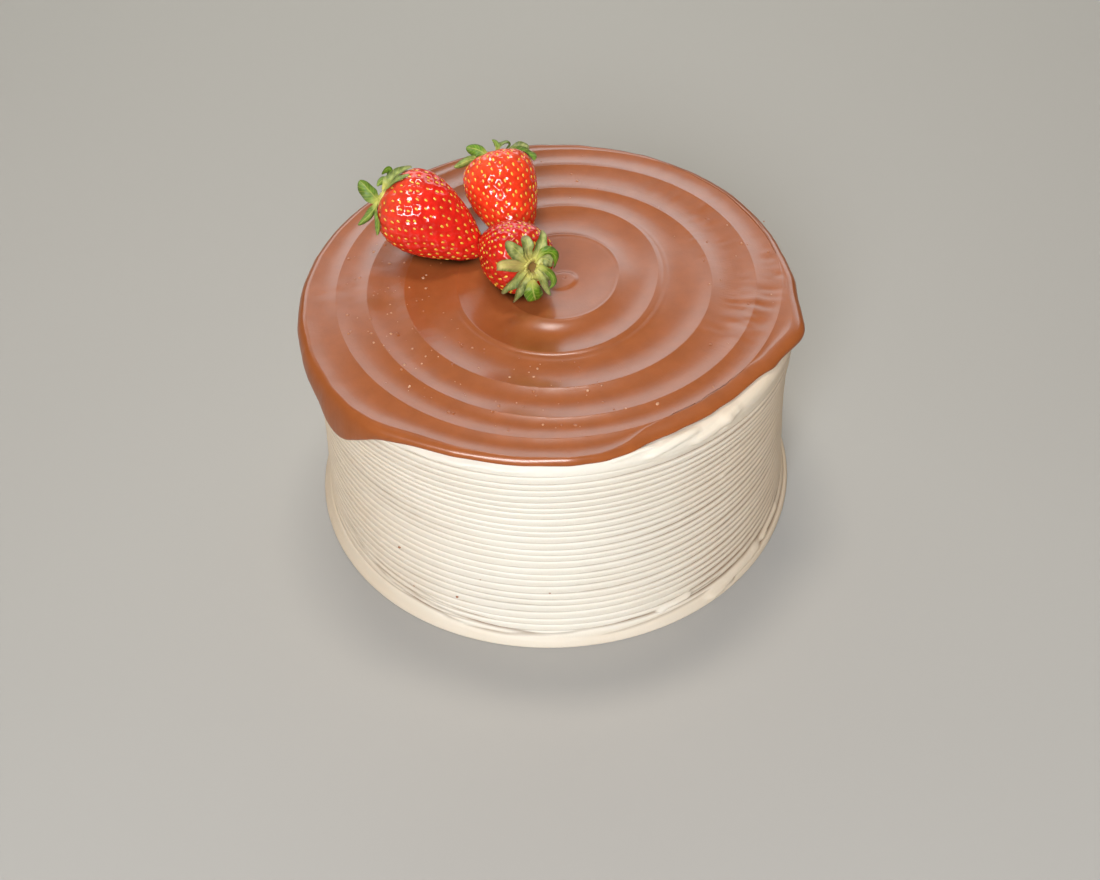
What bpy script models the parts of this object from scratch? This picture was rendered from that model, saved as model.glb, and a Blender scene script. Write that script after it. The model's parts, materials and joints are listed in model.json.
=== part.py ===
"""A tall round layer cake: combed cream sides, a swirled chocolate top, three strawberries.

Run with blender --background --python part.py, or from Blender's text editor.
Units are metres and +Z is up. The origin is the centre of the flat base.
Angles about the cake are in degrees, counted anticlockwise from +X; -90 is the front.
"""
import math

import bmesh
import bpy
import numpy as np
from mathutils import Vector
from mathutils.bvhtree import BVHTree

MM = 0.001

# Clearances between pieces that touch
GAP = 0.0007
SEAT_GAP = 0.0003
LEAF_GAP = 0.0009

# Cream-coated body
BODY_TOP_Z = 0.0975
SHOULDER = 0.004
WAIST_RADIUS = 0.0956
WAIST_Z = 0.058
LOWER_SPREAD = 0.0034
LOWER_CURVE = 1.3
BASE_FLARE = 0.0030
BASE_FLARE_HEIGHT = 0.0045
UPPER_SPREAD = 0.0021
UPPER_SPREAD_FROM = 0.066
UPPER_SPREAD_HEIGHT = 0.024
LEAN_BACK = 0.0016
LEAN_RIGHT = 0.0005
WOBBLE_2 = 0.00025
WOBBLE_5 = 0.00015
WOBBLE_RISE = 0.02
FLAT_SPOT_AZIMUTH = 14
FLAT_SPOT_WIDTH = 30
FLAT_SPOT_DEPTH = 0.0016
BODY_COLUMNS = 52
# Rows below the first comb mark: height, and how far they stand in from the crests
FOOT_ROWS = ((0.0, 0.0008), (0.0010, 0.0), (0.0038, 0.0002), (0.0052, 0.0012))
SHOULDER_TURNS = (30, 60, 90)

# Marks of the comb round the side
COMB_MARKS = 26
COMB_PITCH = 0.00342
COMB_FIRST_Z = 0.0068
COMB_DEPTH = 0.0009
COMB_WANDER = 0.0005

# Swirled chocolate top
SWIRL_CENTRE = (0.0066, 0.0054)
SWIRL_CREST_Z = 0.1004
SWIRL_DEPTH = 0.0014
SWIRL_SLOPE = 0.078
SWIRL_ROUND = 0.8
SWIRL_ROW_SHARES = (0.0, 0.28, 0.72)
DISH_ROW_SHARES = (0.18, 0.6)
CENTRE_RISE = 0.0006
TOP_COLUMNS = 84
# Crest lines: mean radius in mm, then cos, sin, cos 2 and sin 2 parts of its angle
SWIRL_CRESTS = (
    (24.9, -1.7, 1.1, -1.6, 0.5),
    (42.8, -2.8, 1.5, -2.9, 1.2),
    (61.3, -2.7, -1.6, -0.7, 0.2),
    (77.5, -1.4, -0.9, -0.7, 0.2),
    (88.6, -2.4, -0.3, -0.6, 0.8),
)
# The poured rim: azimuth, outer radius in mm, height of its lower edge in mm, and how wide its
# rolled edge is in mm. It hangs furthest at the drip near -143 and juts out in a corner at -18.
RIM = (
    (-165, 99.6, 91.5, 4.4),
    (-152, 100.4, 88.0, 4.6),
    (-143, 101.8, 82.8, 4.8),
    (-137, 101.3, 88.0, 4.6),
    (-131, 99.8, 94.0, 4.2),
    (-124, 97.4, 96.4, 3.8),
    (-112, 95.4, 97.0, 3.6),
    (-95, 95.2, 97.1, 3.6),
    (-78, 95.0, 97.1, 3.8),
    (-68, 92.6, 97.6, 5.6),
    (-50, 92.5, 97.6, 6.4),
    (-35, 94.4, 97.3, 5.6),
    (-25, 98.2, 96.6, 5.2),
    (-18, 101.2, 96.0, 5.4),
    (-11, 98.8, 95.6, 4.6),
    (0, 97.2, 95.4, 3.8),
    (22, 96.9, 95.2, 3.6),
    (45, 98.7, 94.6, 3.6),
    (70, 100.2, 94.2, 3.6),
    (90, 100.9, 94.2, 3.4),
    (115, 99.6, 94.2, 3.6),
    (145, 98.8, 93.8, 3.8),
    (178, 98.9, 93.0, 4.2),
)
RIM_BULGE = 0.0022
RIM_BULGE_SHARE = 0.36
RIM_SHOULDER_OUT = 0.28
RIM_SHOULDER_UP = 0.4
RIM_SHOULDER_DROP = 0.0013
RIM_WALL = 0.0012
RIM_LIP = 0.0005
RIM_FOOT_RISE = 0.0003
RIM_UNDER_STEP = 0.001

# Strawberries: centre in mm, azimuth and elevation of the axis towards the leaves,
# length and radius in mm, then how much the shoulders widen and how blunt the ends are
BERRIES = {
    "left": ((-44.5, 25.8, 114.0), 157.8, 27.4, 45.7, 16.4, 0.44, 0.91),
    "back": ((-15.4, 38.1, 114.0), 106.7, 34.0, 39.6, 14.9, 0.47, 0.61),
    "front": ((-14.1, 6.7, 113.6), -60.3, 13.4, 34.9, 14.0, 0.35, 0.78),
}
BERRY_SIDES = 18
BERRY_RINGS = 11
BERRY_LOBES = 0.018
BERRY_DIMPLE = 0.0012
BERRY_DIMPLE_WIDTH = 0.004
BERRY_ROW_CURVE = 0.92

# Sepals: angle about the berry's axis, reach from the axis in mm, rise along it in mm
SEPALS = {
    "left": (
        (-64, 16.5, -2.0), (-26, 18.0, 1.8), (14, 9.0, 6.0), (50, 8.5, 8.5),
        (88, 14.6, -6.5), (126, 14.0, -5.0), (166, 12.5, -1.5), (206, 13.0, -2.5),
        (250, 12.5, -1.0),
    ),
    "back": (
        (-8, 17.4, -1.0), (24, 9.8, 4.8), (58, 8.2, 3.0), (94, 8.0, 4.2),
        (130, 8.6, 2.6), (164, 16.2, -4.6), (204, 13.5, -2.0), (250, 13.0, -1.0),
        (304, 13.0, -1.5),
    ),
    "front": (
        (-40, 10.5, 2.5), (0, 9.4, 3.2), (33, 12.4, 1.0), (62, 14.2, 0.2),
        (90, 12.9, 0.2), (124, 14.0, -4.6), (166, 14.2, -4.2), (208, 15.3, -4.4),
        (232, 14.6, 0.0), (278, 12.4, 3.2),
    ),
}
SEPAL_VALLEY = 0.0046
SEPAL_THICKNESS = 0.0007
SEPAL_ARCH = 0.0014
SEPAL_ROWS = (0.22, 0.5, 0.76, 1.0)
SEPAL_RISE_CURVE = 1.5
SEPAL_FLANK = 0.62
SEPAL_VALLEY_RISE = 0.4
SEPAL_WIDTH_BEFORE = 0.72
SEPAL_WIDTH_AFTER = 0.36
STEM_FLOOR = 0.0002
STEM_RADIUS = 0.0016
STEM_RISE = 0.0012

# Colours, linear, as the surfaces read in soft daylight
CREAM = (0.80, 0.69, 0.54)
CHOCOLATE = (0.33, 0.115, 0.05)
BERRY_RED = (0.62, 0.025, 0.012)
LEAF_GREEN = (0.22, 0.33, 0.07)


def clear_scene():
    """Remove every object that the file opened with."""
    for item in list(bpy.data.objects):
        bpy.data.objects.remove(item, do_unlink=True)


def material(name, colour, roughness, coat=0.0):
    """A Principled material of one colour."""
    made = bpy.data.materials.new(name)
    made.use_nodes = True
    shader = made.node_tree.nodes["Principled BSDF"]
    shader.inputs["Base Color"].default_value = (*colour, 1.0)
    shader.inputs["Roughness"].default_value = roughness
    shader.inputs["Metallic"].default_value = 0.0
    shader.inputs["Coat Weight"].default_value = coat
    return made


def smoothstep(value):
    """0 below 0, 1 above 1, and an even S between."""
    held = np.clip(value, 0.0, 1.0)
    return held * held * (3.0 - 2.0 * held)


def body_radius(azimuth, z):
    """Radius of the combed side's crests: a waisted barrel that flares at both ends."""
    angle = np.radians(azimuth)
    lower = LOWER_SPREAD * np.clip(1.0 - z / WAIST_Z, 0.0, 1.0) ** LOWER_CURVE
    flare = BASE_FLARE * np.exp(-((z / BASE_FLARE_HEIGHT) ** 2))
    share = smoothstep((z - UPPER_SPREAD_FROM) / UPPER_SPREAD_HEIGHT)
    off = (np.asarray(azimuth) - FLAT_SPOT_AZIMUTH + 180.0) % 360.0 - 180.0
    flat_spot = FLAT_SPOT_DEPTH * share * np.exp(-((off / FLAT_SPOT_WIDTH) ** 2))
    lean = (z / BODY_TOP_Z) * (LEAN_BACK * np.sin(angle) + LEAN_RIGHT * np.cos(angle))
    wobble = WOBBLE_2 * np.sin(2 * angle + 1.0) + WOBBLE_5 * np.sin(5 * angle + z / WOBBLE_RISE)
    return WAIST_RADIUS + lower + flare + UPPER_SPREAD * share - flat_spot + lean + wobble


def rim_values(azimuth):
    """Outer radius, lower edge and roll width, on a smooth closed curve through RIM."""
    stops = np.array(RIM, float)
    count = len(stops)
    around = np.concatenate([stops[-3:, 0] - 360.0, stops[:, 0], stops[:3, 0] + 360.0])
    values = np.concatenate([stops[-3:, 1:], stops[:, 1:], stops[:3, 1:]])
    slope = np.gradient(values, around, axis=0)
    spot = (np.asarray(azimuth, float) - stops[0, 0]) % 360.0 + stops[0, 0]
    left = np.clip(np.searchsorted(around, spot, side="right") - 1, 0, count + 4)
    width = (around[left + 1] - around[left])[:, None]
    t = ((spot - around[left]) / width[:, 0])[:, None]
    start = values[left] * (1 + 2 * t) * (1 - t) ** 2 + slope[left] * width * t * (1 - t) ** 2
    end = values[left + 1] * t * t * (3 - 2 * t) + slope[left + 1] * width * t * t * (t - 1)
    return ((start + end) * MM).T


def rim_shape(azimuth):
    """Outer radius, lower edge and roll of the rim, the edge clear of the body's shoulder."""
    radius, low, roll = rim_values(azimuth)
    bend_radius = SHOULDER + GAP
    arc_z = BODY_TOP_Z - SHOULDER
    out = radius - RIM_LIP - (body_radius(azimuth, arc_z) - SHOULDER)
    over = arc_z + np.sqrt(np.maximum(bend_radius ** 2 - np.maximum(out, 0.0) ** 2, 0.0))
    low = np.where(out < bend_radius, np.maximum(low, over), low)
    return radius, low, roll


def crest_radius(index, angle):
    """Radius of one crest line about the swirl's centre; angle in radians."""
    mean, cos_1, sin_1, cos_2, sin_2 = SWIRL_CRESTS[index]
    waves = cos_1 * np.cos(angle) + sin_1 * np.sin(angle)
    waves = waves + cos_2 * np.cos(2 * angle) + sin_2 * np.sin(2 * angle)
    return (mean + waves) * MM


def ring(radius, azimuth, z):
    """Points at these radii, azimuths in degrees and heights."""
    angle = np.radians(azimuth)
    rows = [radius * np.cos(angle), radius * np.sin(angle), np.broadcast_to(z, angle.shape)]
    return np.stack(rows, axis=1)


def loft(rings, first_pole, last_pole):
    """A closed bmesh through rings of equal count, with a fan at each end.

    Rings run anticlockwise seen from the last pole, and go from the first pole to it.
    """
    shape = bmesh.new()
    rows = [[shape.verts.new(point) for point in row] for row in rings]
    count = len(rows[0])
    for lower, upper in zip(rows, rows[1:]):
        for i in range(count):
            j = (i + 1) % count
            shape.faces.new((lower[i], lower[j], upper[j], upper[i]))
    bottom = shape.verts.new(first_pole)
    top = shape.verts.new(last_pole)
    for i in range(count):
        j = (i + 1) % count
        shape.faces.new((bottom, rows[0][j], rows[0][i]))
        shape.faces.new((top, rows[-1][i], rows[-1][j]))
    return shape


def finish(name, shape, surface):
    """Turn the bmesh into a smooth shaded object with its material."""
    bmesh.ops.recalc_face_normals(shape, faces=shape.faces)
    mesh = bpy.data.meshes.new(name)
    shape.to_mesh(mesh)
    shape.free()
    mesh.shade_smooth()
    mesh.set_sharp_from_angle(angle=math.radians(50))
    mesh.materials.append(surface)
    made = bpy.data.objects.new(name, mesh)
    bpy.context.scene.collection.objects.link(made)
    return made


def comb_height(mark, azimuth):
    """Height of one comb mark, which wanders a little as the comb went round."""
    angle = np.radians(azimuth)
    wander = np.sin(angle + 0.31 * mark) + 0.6 * np.sin(3 * angle + 1.7 * mark)
    return COMB_FIRST_Z + COMB_PITCH * mark + COMB_WANDER * wander


def make_body():
    """The cream-coated body: base flare, comb grooves one above another, round shoulder."""
    azimuth = np.arange(BODY_COLUMNS) * 360.0 / BODY_COLUMNS
    rings = []
    for z, inset in FOOT_ROWS:
        rings.append(ring(body_radius(azimuth, z) - inset, azimuth, z))
    for mark in range(COMB_MARKS):
        groove = comb_height(mark, azimuth)
        crest = comb_height(mark + 0.5, azimuth)
        rings.append(ring(body_radius(azimuth, groove) - COMB_DEPTH, azimuth, groove))
        rings.append(ring(body_radius(azimuth, crest), azimuth, crest))
    side = body_radius(azimuth, BODY_TOP_Z - SHOULDER)
    for turn in SHOULDER_TURNS:
        bend = math.radians(turn)
        radius = side - SHOULDER * (1 - math.cos(bend))
        rings.append(ring(radius, azimuth, BODY_TOP_Z - SHOULDER * (1 - math.sin(bend))))
    shape = loft(rings, (0, 0, 0), (0, 0, BODY_TOP_Z))
    return finish("cake_body", shape, material("cream", CREAM, 0.6))


def swirl_row(inner, outer, share, angle):
    """A row of the top between two crest lines: a trough, shallower where they are close."""
    radius = inner + (outer - inner) * share
    depth = np.minimum(SWIRL_DEPTH, SWIRL_SLOPE * (outer - inner))
    z = SWIRL_CREST_Z - depth * (4 * share * (1 - share)) ** SWIRL_ROUND
    x = SWIRL_CENTRE[0] + radius * np.cos(angle)
    y = SWIRL_CENTRE[1] + radius * np.sin(angle)
    return np.stack([x, y, np.broadcast_to(z, angle.shape)], axis=1)


def underside_rows(azimuth, radius, low):
    """Rows from the rim's lower edge inwards over the body's shoulder, clear of the cream.

    The rim's foot lies on the shoulder's arc, as far round it as the rim's radius and lower
    edge allow, on the body's side where the rim hangs below the shoulder, or on its flat top
    where the rim stops short of the shoulder.
    """
    bend_radius = SHOULDER + GAP
    arc_z = BODY_TOP_Z - SHOULDER
    side = body_radius(azimuth, arc_z)
    start = side - SHOULDER
    short = np.maximum(start - (radius - RIM_WALL), 0.0)
    foot = low + RIM_FOOT_RISE
    by_reach = np.arcsin(np.clip((radius - RIM_WALL - start) / bend_radius, 0.0, 1.0))
    by_height = np.arccos(np.clip((foot - arc_z) / bend_radius, 0.0, 1.0))
    turn = np.minimum(by_reach, by_height)
    foot = np.where(turn < math.radians(89.5), arc_z + bend_radius * np.cos(turn), foot)
    rows = [ring(start + bend_radius * np.sin(turn) - short, azimuth, foot)]
    for share in (0.7, 0.35, 0.0):
        bend = turn * share
        height = arc_z + bend_radius * np.cos(bend)
        inwards = short + (1.0 - share) * np.minimum(short, RIM_UNDER_STEP)
        rows.append(ring(start + bend_radius * np.sin(bend) - inwards, azimuth, height))
    return rows


def make_top():
    """The chocolate: crest rings and troughs from the centre out, a rolled rim, its underside."""
    azimuth = np.arange(TOP_COLUMNS) * 360.0 / TOP_COLUMNS
    radius, low, roll = rim_shape(azimuth)
    edge = ring(radius, azimuth, 0.0)
    angle = np.arctan2(edge[:, 1] - SWIRL_CENTRE[1], edge[:, 0] - SWIRL_CENTRE[0])
    crests = [crest_radius(index, angle) for index in range(len(SWIRL_CRESTS))]
    last = ring(radius - roll, azimuth, 0.0)
    crests.append(np.hypot(last[:, 0] - SWIRL_CENTRE[0], last[:, 1] - SWIRL_CENTRE[1]))
    rings = [swirl_row(0.0, crests[0], share, angle) for share in DISH_ROW_SHARES]
    for inner, outer in zip(crests, crests[1:]):
        for share in SWIRL_ROW_SHARES:
            rings.append(swirl_row(inner, outer, share, angle))
    rings.append(swirl_row(crests[-1], crests[-1], 0.0, angle))
    rest = SWIRL_CREST_Z - low
    bulge = low + np.minimum(RIM_BULGE, RIM_BULGE_SHARE * rest)
    upper = np.maximum(bulge + RIM_SHOULDER_UP * (SWIRL_CREST_Z - bulge),
                       SWIRL_CREST_Z - RIM_SHOULDER_DROP)
    rings.append(ring(radius - RIM_SHOULDER_OUT * roll, azimuth, upper))
    rings.append(ring(radius, azimuth, bulge))
    rings.append(ring(radius - RIM_LIP, azimuth, low))
    rings.extend(underside_rows(azimuth, radius, low))
    rings.reverse()
    centre_top = (*SWIRL_CENTRE, SWIRL_CREST_Z - CENTRE_RISE)
    shape = loft(rings, (0, 0, BODY_TOP_Z + GAP), centre_top)
    return finish("chocolate_top", shape, material("chocolate", CHOCOLATE, 0.22, 0.5))


def berry_frame(name):
    """Centre, axis towards the leaves, and two directions across it, the second upwards."""
    centre, azimuth, elevation = BERRIES[name][:3]
    flat = math.cos(math.radians(elevation))
    turn = math.radians(azimuth)
    axis = Vector((flat * math.cos(turn), flat * math.sin(turn), math.sin(math.radians(elevation))))
    across = Vector((0, 0, 1)).cross(axis).normalized()
    return Vector(centre) * MM, axis, across, axis.cross(across)


def berry_profile(name, bend):
    """Radius and place along the axis at a polar angle from the leaf end, in metres."""
    length, radius, widen, blunt = BERRIES[name][3:]
    table = np.linspace(0.0, math.pi, 181)
    widest = (np.sin(table) ** blunt * (1 + widen * np.cos(table))).max()
    across = radius * MM * np.sin(bend) ** blunt * (1 + widen * np.cos(bend)) / widest
    dimple = BERRY_DIMPLE * np.exp(-((across / BERRY_DIMPLE_WIDTH) ** 2)) * (bend < 1.0)
    return across, length * MM / 2 * np.cos(bend) - dimple


def make_berry(name, surface):
    """One strawberry: a blunt egg with faint lobes, about its own axis."""
    centre, axis, across, upward = berry_frame(name)
    bends = np.pi * (np.arange(1, BERRY_RINGS + 1) / (BERRY_RINGS + 1)) ** BERRY_ROW_CURVE
    around = np.arange(BERRY_SIDES) * 2 * math.pi / BERRY_SIDES
    rings = []
    for bend in bends:
        reach, along = berry_profile(name, bend)
        swell = reach * (1 + BERRY_LOBES * np.sin(3 * around + 2 * bend))
        rings.append([centre + axis * float(along)
                      + (across * math.cos(a) + upward * math.sin(a)) * float(r)
                      for a, r in zip(around, swell)])
    poles = [berry_profile(name, bend)[1] for bend in (0.0, math.pi)]
    rings.reverse()
    shape = loft(rings, centre + axis * float(poles[1]), centre + axis * float(poles[0]))
    return finish("strawberry_" + name, shape, surface)


def seat(berry, carrier):
    """Drop or lift the berry until its lowest gap to the carrier is the seat's gap."""
    carrier_mesh = carrier.data
    berry_mesh = berry.data
    top = BVHTree.FromPolygons([v.co for v in carrier_mesh.vertices],
                               [p.vertices for p in carrier_mesh.polygons])
    under = BVHTree.FromPolygons([v.co for v in berry_mesh.vertices],
                                 [p.vertices for p in berry_mesh.polygons])
    lift = Vector((0, 0, 0.02))
    gaps = []
    for vertex in berry_mesh.vertices:
        hit = top.ray_cast(vertex.co + lift, (0, 0, -1))[0]
        if hit is not None:
            gaps.append(vertex.co.z - hit.z)
    for vertex in carrier_mesh.vertices:
        hit = under.ray_cast(vertex.co - lift, (0, 0, 1))[0]
        if hit is not None:
            gaps.append(hit.z - vertex.co.z)
    shift = SEAT_GAP - min(gaps)
    for vertex in berry_mesh.vertices:
        vertex.co.z += shift
    return shift


def leaf_skin(name):
    """Reach and rise of the lowest place that the middle of a sepal may take over the berry."""
    bends = np.linspace(0.0, 2.2, 160)
    reach, along = berry_profile(name, bends)
    reach = reach * (1 + BERRY_LOBES)
    slope_reach = np.gradient(reach, bends)
    slope_along = np.gradient(along, bends)
    size = np.hypot(slope_reach, slope_along) + 1e-9
    away = LEAF_GAP + SEPAL_THICKNESS / 2
    out_reach = reach - slope_along / size * away
    out_rise = along + slope_reach / size * away - BERRIES[name][3] * MM / 2
    last = int(np.argmax(out_reach))
    return out_reach[:last + 1], out_rise[:last + 1]


def leaf_outline(sepals):
    """Angle, reach and rise round the star: each sepal's tip, its two flanks and the valleys."""
    turns, reaches, rises = [], [], []
    count = len(sepals)
    for i, (turn, reach, rise) in enumerate(sepals):
        before = sepals[i - 1][0] - (360 if i == 0 else 0)
        after = sepals[(i + 1) % count][0] + (360 if i == count - 1 else 0)
        valley = (before + turn) / 2
        turns += [valley, turn - SEPAL_WIDTH_BEFORE * (turn - valley),
                  turn, turn + SEPAL_WIDTH_AFTER * (after - turn)]
        flank = SEPAL_FLANK * reach
        reaches += [SEPAL_VALLEY / MM, flank, reach, flank]
        rises += [SEPAL_VALLEY_RISE, rise / 2, rise, rise / 2]
    return np.radians(turns), np.array(reaches) * MM, np.array(rises) * MM


def make_leaves(name, surface, shift):
    """The leafy cap: one thin wavy star whose sepals reach out over the berry or curl up."""
    centre, axis, across, upward = berry_frame(name)
    centre = centre + Vector((0, 0, shift))
    turns, reaches, rises = leaf_outline(SEPALS[name])
    skin_reach, skin_rise = leaf_skin(name)
    half = BERRIES[name][3] * MM / 2
    sides = {}
    for side in (-1, 1):
        rows = []
        for share in SEPAL_ROWS:
            reach = STEM_RADIUS + (reaches - STEM_RADIUS) * share
            rise = rises * share ** SEPAL_RISE_CURVE + SEPAL_ARCH * 4 * share * (1 - share)
            skin = np.interp(reach, skin_reach, skin_rise)
            rise = np.where(reach < skin_reach[-1], np.maximum(rise, skin), rise)
            height = half + rise + side * SEPAL_THICKNESS / 2
            rows.append([centre + axis * float(h)
                         + (across * math.cos(a) + upward * math.sin(a)) * float(r)
                         for a, r, h in zip(turns, reach, height)])
        sides[side] = rows
    rise_top = half + LEAF_GAP + STEM_RISE + SEPAL_THICKNESS
    shape = loft(sides[-1] + sides[1][::-1],
                 centre + axis * (half + LEAF_GAP - SEPAL_THICKNESS / 2 + STEM_FLOOR),
                 centre + axis * rise_top)
    bmesh.ops.triangulate(shape, faces=shape.faces, quad_method="FIXED")
    return finish("leaves_" + name, shape, surface)


def main():
    clear_scene()
    make_body()
    top = make_top()
    red = material("strawberry", BERRY_RED, 0.3, 0.4)
    green = material("leaf", LEAF_GREEN, 0.5)
    for name in BERRIES:
        berry = make_berry(name, red)
        shift = seat(berry, top)
        make_leaves(name, green, shift)


main()
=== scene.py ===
"""Dress a tall layer cake: combed cream sides, a swirled chocolate top, three strawberries.

Units are metres and +Z is up. The origin is the centre of the flat base.
Angles about the cake are in degrees, anticlockwise from +X; -90 is the front.
Each new skin is a grid of points worked out whole, closed by a pole at either end.
"""
import json
import math

import bpy
import numpy as np
from mathutils import Matrix, Vector

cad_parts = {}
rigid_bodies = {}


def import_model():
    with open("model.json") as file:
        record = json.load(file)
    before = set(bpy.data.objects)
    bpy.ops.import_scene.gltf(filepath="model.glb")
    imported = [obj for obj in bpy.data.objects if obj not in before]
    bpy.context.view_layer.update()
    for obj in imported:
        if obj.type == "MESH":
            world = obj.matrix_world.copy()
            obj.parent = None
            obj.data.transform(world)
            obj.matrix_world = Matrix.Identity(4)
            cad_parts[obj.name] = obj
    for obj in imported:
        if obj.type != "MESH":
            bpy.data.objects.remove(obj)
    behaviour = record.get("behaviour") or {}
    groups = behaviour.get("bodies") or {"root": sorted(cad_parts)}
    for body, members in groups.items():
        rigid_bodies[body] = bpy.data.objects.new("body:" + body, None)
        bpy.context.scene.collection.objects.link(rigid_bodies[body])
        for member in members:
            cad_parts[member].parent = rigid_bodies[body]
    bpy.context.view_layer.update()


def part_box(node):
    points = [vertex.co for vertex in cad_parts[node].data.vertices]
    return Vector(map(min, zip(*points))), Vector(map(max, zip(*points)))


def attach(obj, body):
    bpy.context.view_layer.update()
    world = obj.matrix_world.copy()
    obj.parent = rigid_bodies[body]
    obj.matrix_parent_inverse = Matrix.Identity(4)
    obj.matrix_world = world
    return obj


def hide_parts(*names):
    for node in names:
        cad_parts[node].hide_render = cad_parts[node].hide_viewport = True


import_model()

bl_info = {
    "name": "Chocolate Topped Cream Cake",
    "version": (1, 0, 0),
    "blender": (4, 5, 0),
    "location": "3D View > Sidebar > Cake",
    "description": "Makes the cream, chocolate, strawberries and leaves of a layer cake",
    "category": "Add Mesh",
}

MM = 0.001

# Cream-coated body, as in the solid
BODY_TOP_Z = 0.0975
SHOULDER = 0.004
WAIST_RADIUS = 0.0956
WAIST_Z = 0.058
LOWER_SPREAD = 0.0034
BASE_FLARE = 0.0030
BASE_FLARE_HEIGHT = 0.0045
UPPER_SPREAD = 0.0021
UPPER_SPREAD_FROM = 0.066
UPPER_SPREAD_HEIGHT = 0.024
LEAN_BACK = 0.0016
LEAN_RIGHT = 0.0005
FLAT_SPOT_AZIMUTH = 14
FLAT_SPOT_WIDTH = 30
FLAT_SPOT_DEPTH = 0.0016
COMB_FIRST_Z = 0.0068
COMB_PITCH = 0.00342
COMB_WANDER = 0.0005
COMB_MARKS = 26
CREAM_COLUMNS = 360
SIDE_FROM_Z = 0.0007
SHOULDER_ROWS = 15
# Rows across one comb mark, as shares of the pitch from the groove
MARK_ROWS = (-0.5, -0.27, -0.16, -0.09, -0.03, 0.04, 0.11, 0.19, 0.30)
# Rings of the flat base and of the flat top, as shares of their radius
BASE_RINGS = (0.30, 0.62, 0.88, 0.965)
TOP_RINGS = (0.985, 0.93, 0.8, 0.5, 0.2)
# The foot's rounded edge: how far in and how far up in mm
FOOT_EDGE_MM = ((0.9, 0.0), (0.35, 0.22))

# Changes round the cake: middle and half width in degrees, then the change at the middle.
# The grooves are deep and wide at the right, and faint in front.
GROOVE_CHANGES = ((-20, 33, 1.35), (-98, 34, -0.75))
GROOVE_HALF_WIDTH = 0.11
GROOVE_WIDENING = ((-20, 30, 0.06),)
# Where the plain band under the chocolate starts, and where the one at the foot ends, in mm
PLAIN_FROM_MM = 92.4
PLAIN_CHANGES_MM = ((-38, 24, -3.0), (-139, 12, 4.5))
PLAIN_FADE_MM = 1.6
PLAIN_RISE_MM = 0.10
FOOT_TO_MM = 3.5
FOOT_CHANGES_MM = ((-150, 34, 3.8), (-56, 18, 1.4))
FOOT_FADE_MM = 1.4
FINE_RELIEF_MM = 0.05
# A place with few marks: azimuth, height in mm, half sizes in degrees and mm, share wiped away
WIPED = (-67, 13.5, 8.0, 3.6, 0.75)

# The cream is painted pale where its front is lit, tan in painted shade round the sides, less pale at its
# foot as painted shade, and brown in its deep grooves as painted shade
GROOVE_SHADE_FULL_DEPTH = 0.0017
PAINTED_FRONT_LIGHT = ((-93, 47, 1.0),)
FOOT_PAINTED_SHADE_MM = 7.0
FOOT_PAINTED_SHADE_FADE_MM = 4.0
FOOT_PAINTED_SHADE_SHARE = 0.45

# Thin scored lines near the foot: azimuth and height in mm at each end, depth in mm
SCORES = (
    (-172, -90, 15.0, 5.4, 0.85),
    (-172, -97, 12.2, 4.4, 0.75),
    (-160, -104, 16.5, 10.2, 0.65),
    (-104, -46, 5.0, 8.4, 0.60),
    (-86, -28, 3.4, 5.6, 0.55),
    (20, 96, 9.5, 4.6, 0.35),
    (110, 170, 4.2, 8.8, 0.35),
)
SCORE_WANDER_MM = 0.35
SCORE_HALF_WIDTH_MM = 0.50
SCORE_END = 0.12
# Dabs and nicks in the cream: azimuth, height in mm, half sizes round and up in mm, rise in mm
DABS = (
    (-49.9, 95.6, 2.0, 1.5, 1.2),
    (-51.6, 93.0, 1.3, 0.9, -0.8),
    (-48.7, 62.4, 1.5, 0.9, 0.55),
    (-137.8, 27.4, 1.2, 1.1, 0.50),
    (-136.2, 29.6, 0.9, 0.9, 0.40),
    (-123.4, 77.7, 1.3, 0.7, -0.55),
    (-67.0, 13.5, 9.0, 3.4, -0.25),
    (38.0, 44.0, 1.6, 0.9, 0.45),
    (86.0, 71.0, 1.4, 0.9, -0.45),
    (131.0, 22.0, 1.7, 1.0, 0.50),
)

# Flaps of cream with a sharp lower edge: azimuths, then heights in mm of each one's two ends,
# how tall it is and how far it stands out in mm
FLAPS = (
    (-79, -68, 96.3, 97.0, 0.9, 1.1),
    (-71, -57, 94.4, 96.6, 1.3, 1.3),
    (-60, -45, 93.0, 95.2, 1.6, 1.0),
    (-68, -58, 6.0, 8.8, 0.9, 1.5),
    (-55, -33, 1.9, 4.2, 1.9, 1.6),
    (-33, -20, 3.6, 5.4, 1.0, 0.9),
    (-133, -108, 92.8, 93.9, 0.8, 0.45),
    (-118, -96, 94.8, 94.2, 0.7, 0.40),
    (30, 52, 94.0, 95.0, 1.2, 0.6),
    (118, 150, 2.6, 4.4, 1.4, 0.9),
)
FLAP_RAGGED_MM = 0.45
FLAP_FRINGE_MM = 0.25
FLAP_END = 0.10
FLAP_EDGE_MM = 0.22
FLAP_FADE_MM = 1.1

# Crumbs in the cream: azimuth, height in mm, radius in mm
CRUMBS = (
    (-130.4, 32.5, 0.75),
    (-114.8, 18.6, 0.70),
    (-92.7, 28.2, 0.45),
    (-126.8, 14.1, 0.40),
    (-108.8, 31.4, 0.40),
)
CRUMB_SUNK = 0.0001
LUMP_ROWS = 7
LUMP_COLUMNS = 10
LUMP_UNEVENNESS = 0.14

# Swirled chocolate top, on the same lines as the solid
SWIRL_CENTRE = (0.0066, 0.0054)
SWIRL_CREST_Z = 0.1004
SWIRL_DEPTH = 0.0014
SWIRL_SLOPE = 0.057
DISH_DEPTH = 0.0010
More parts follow.
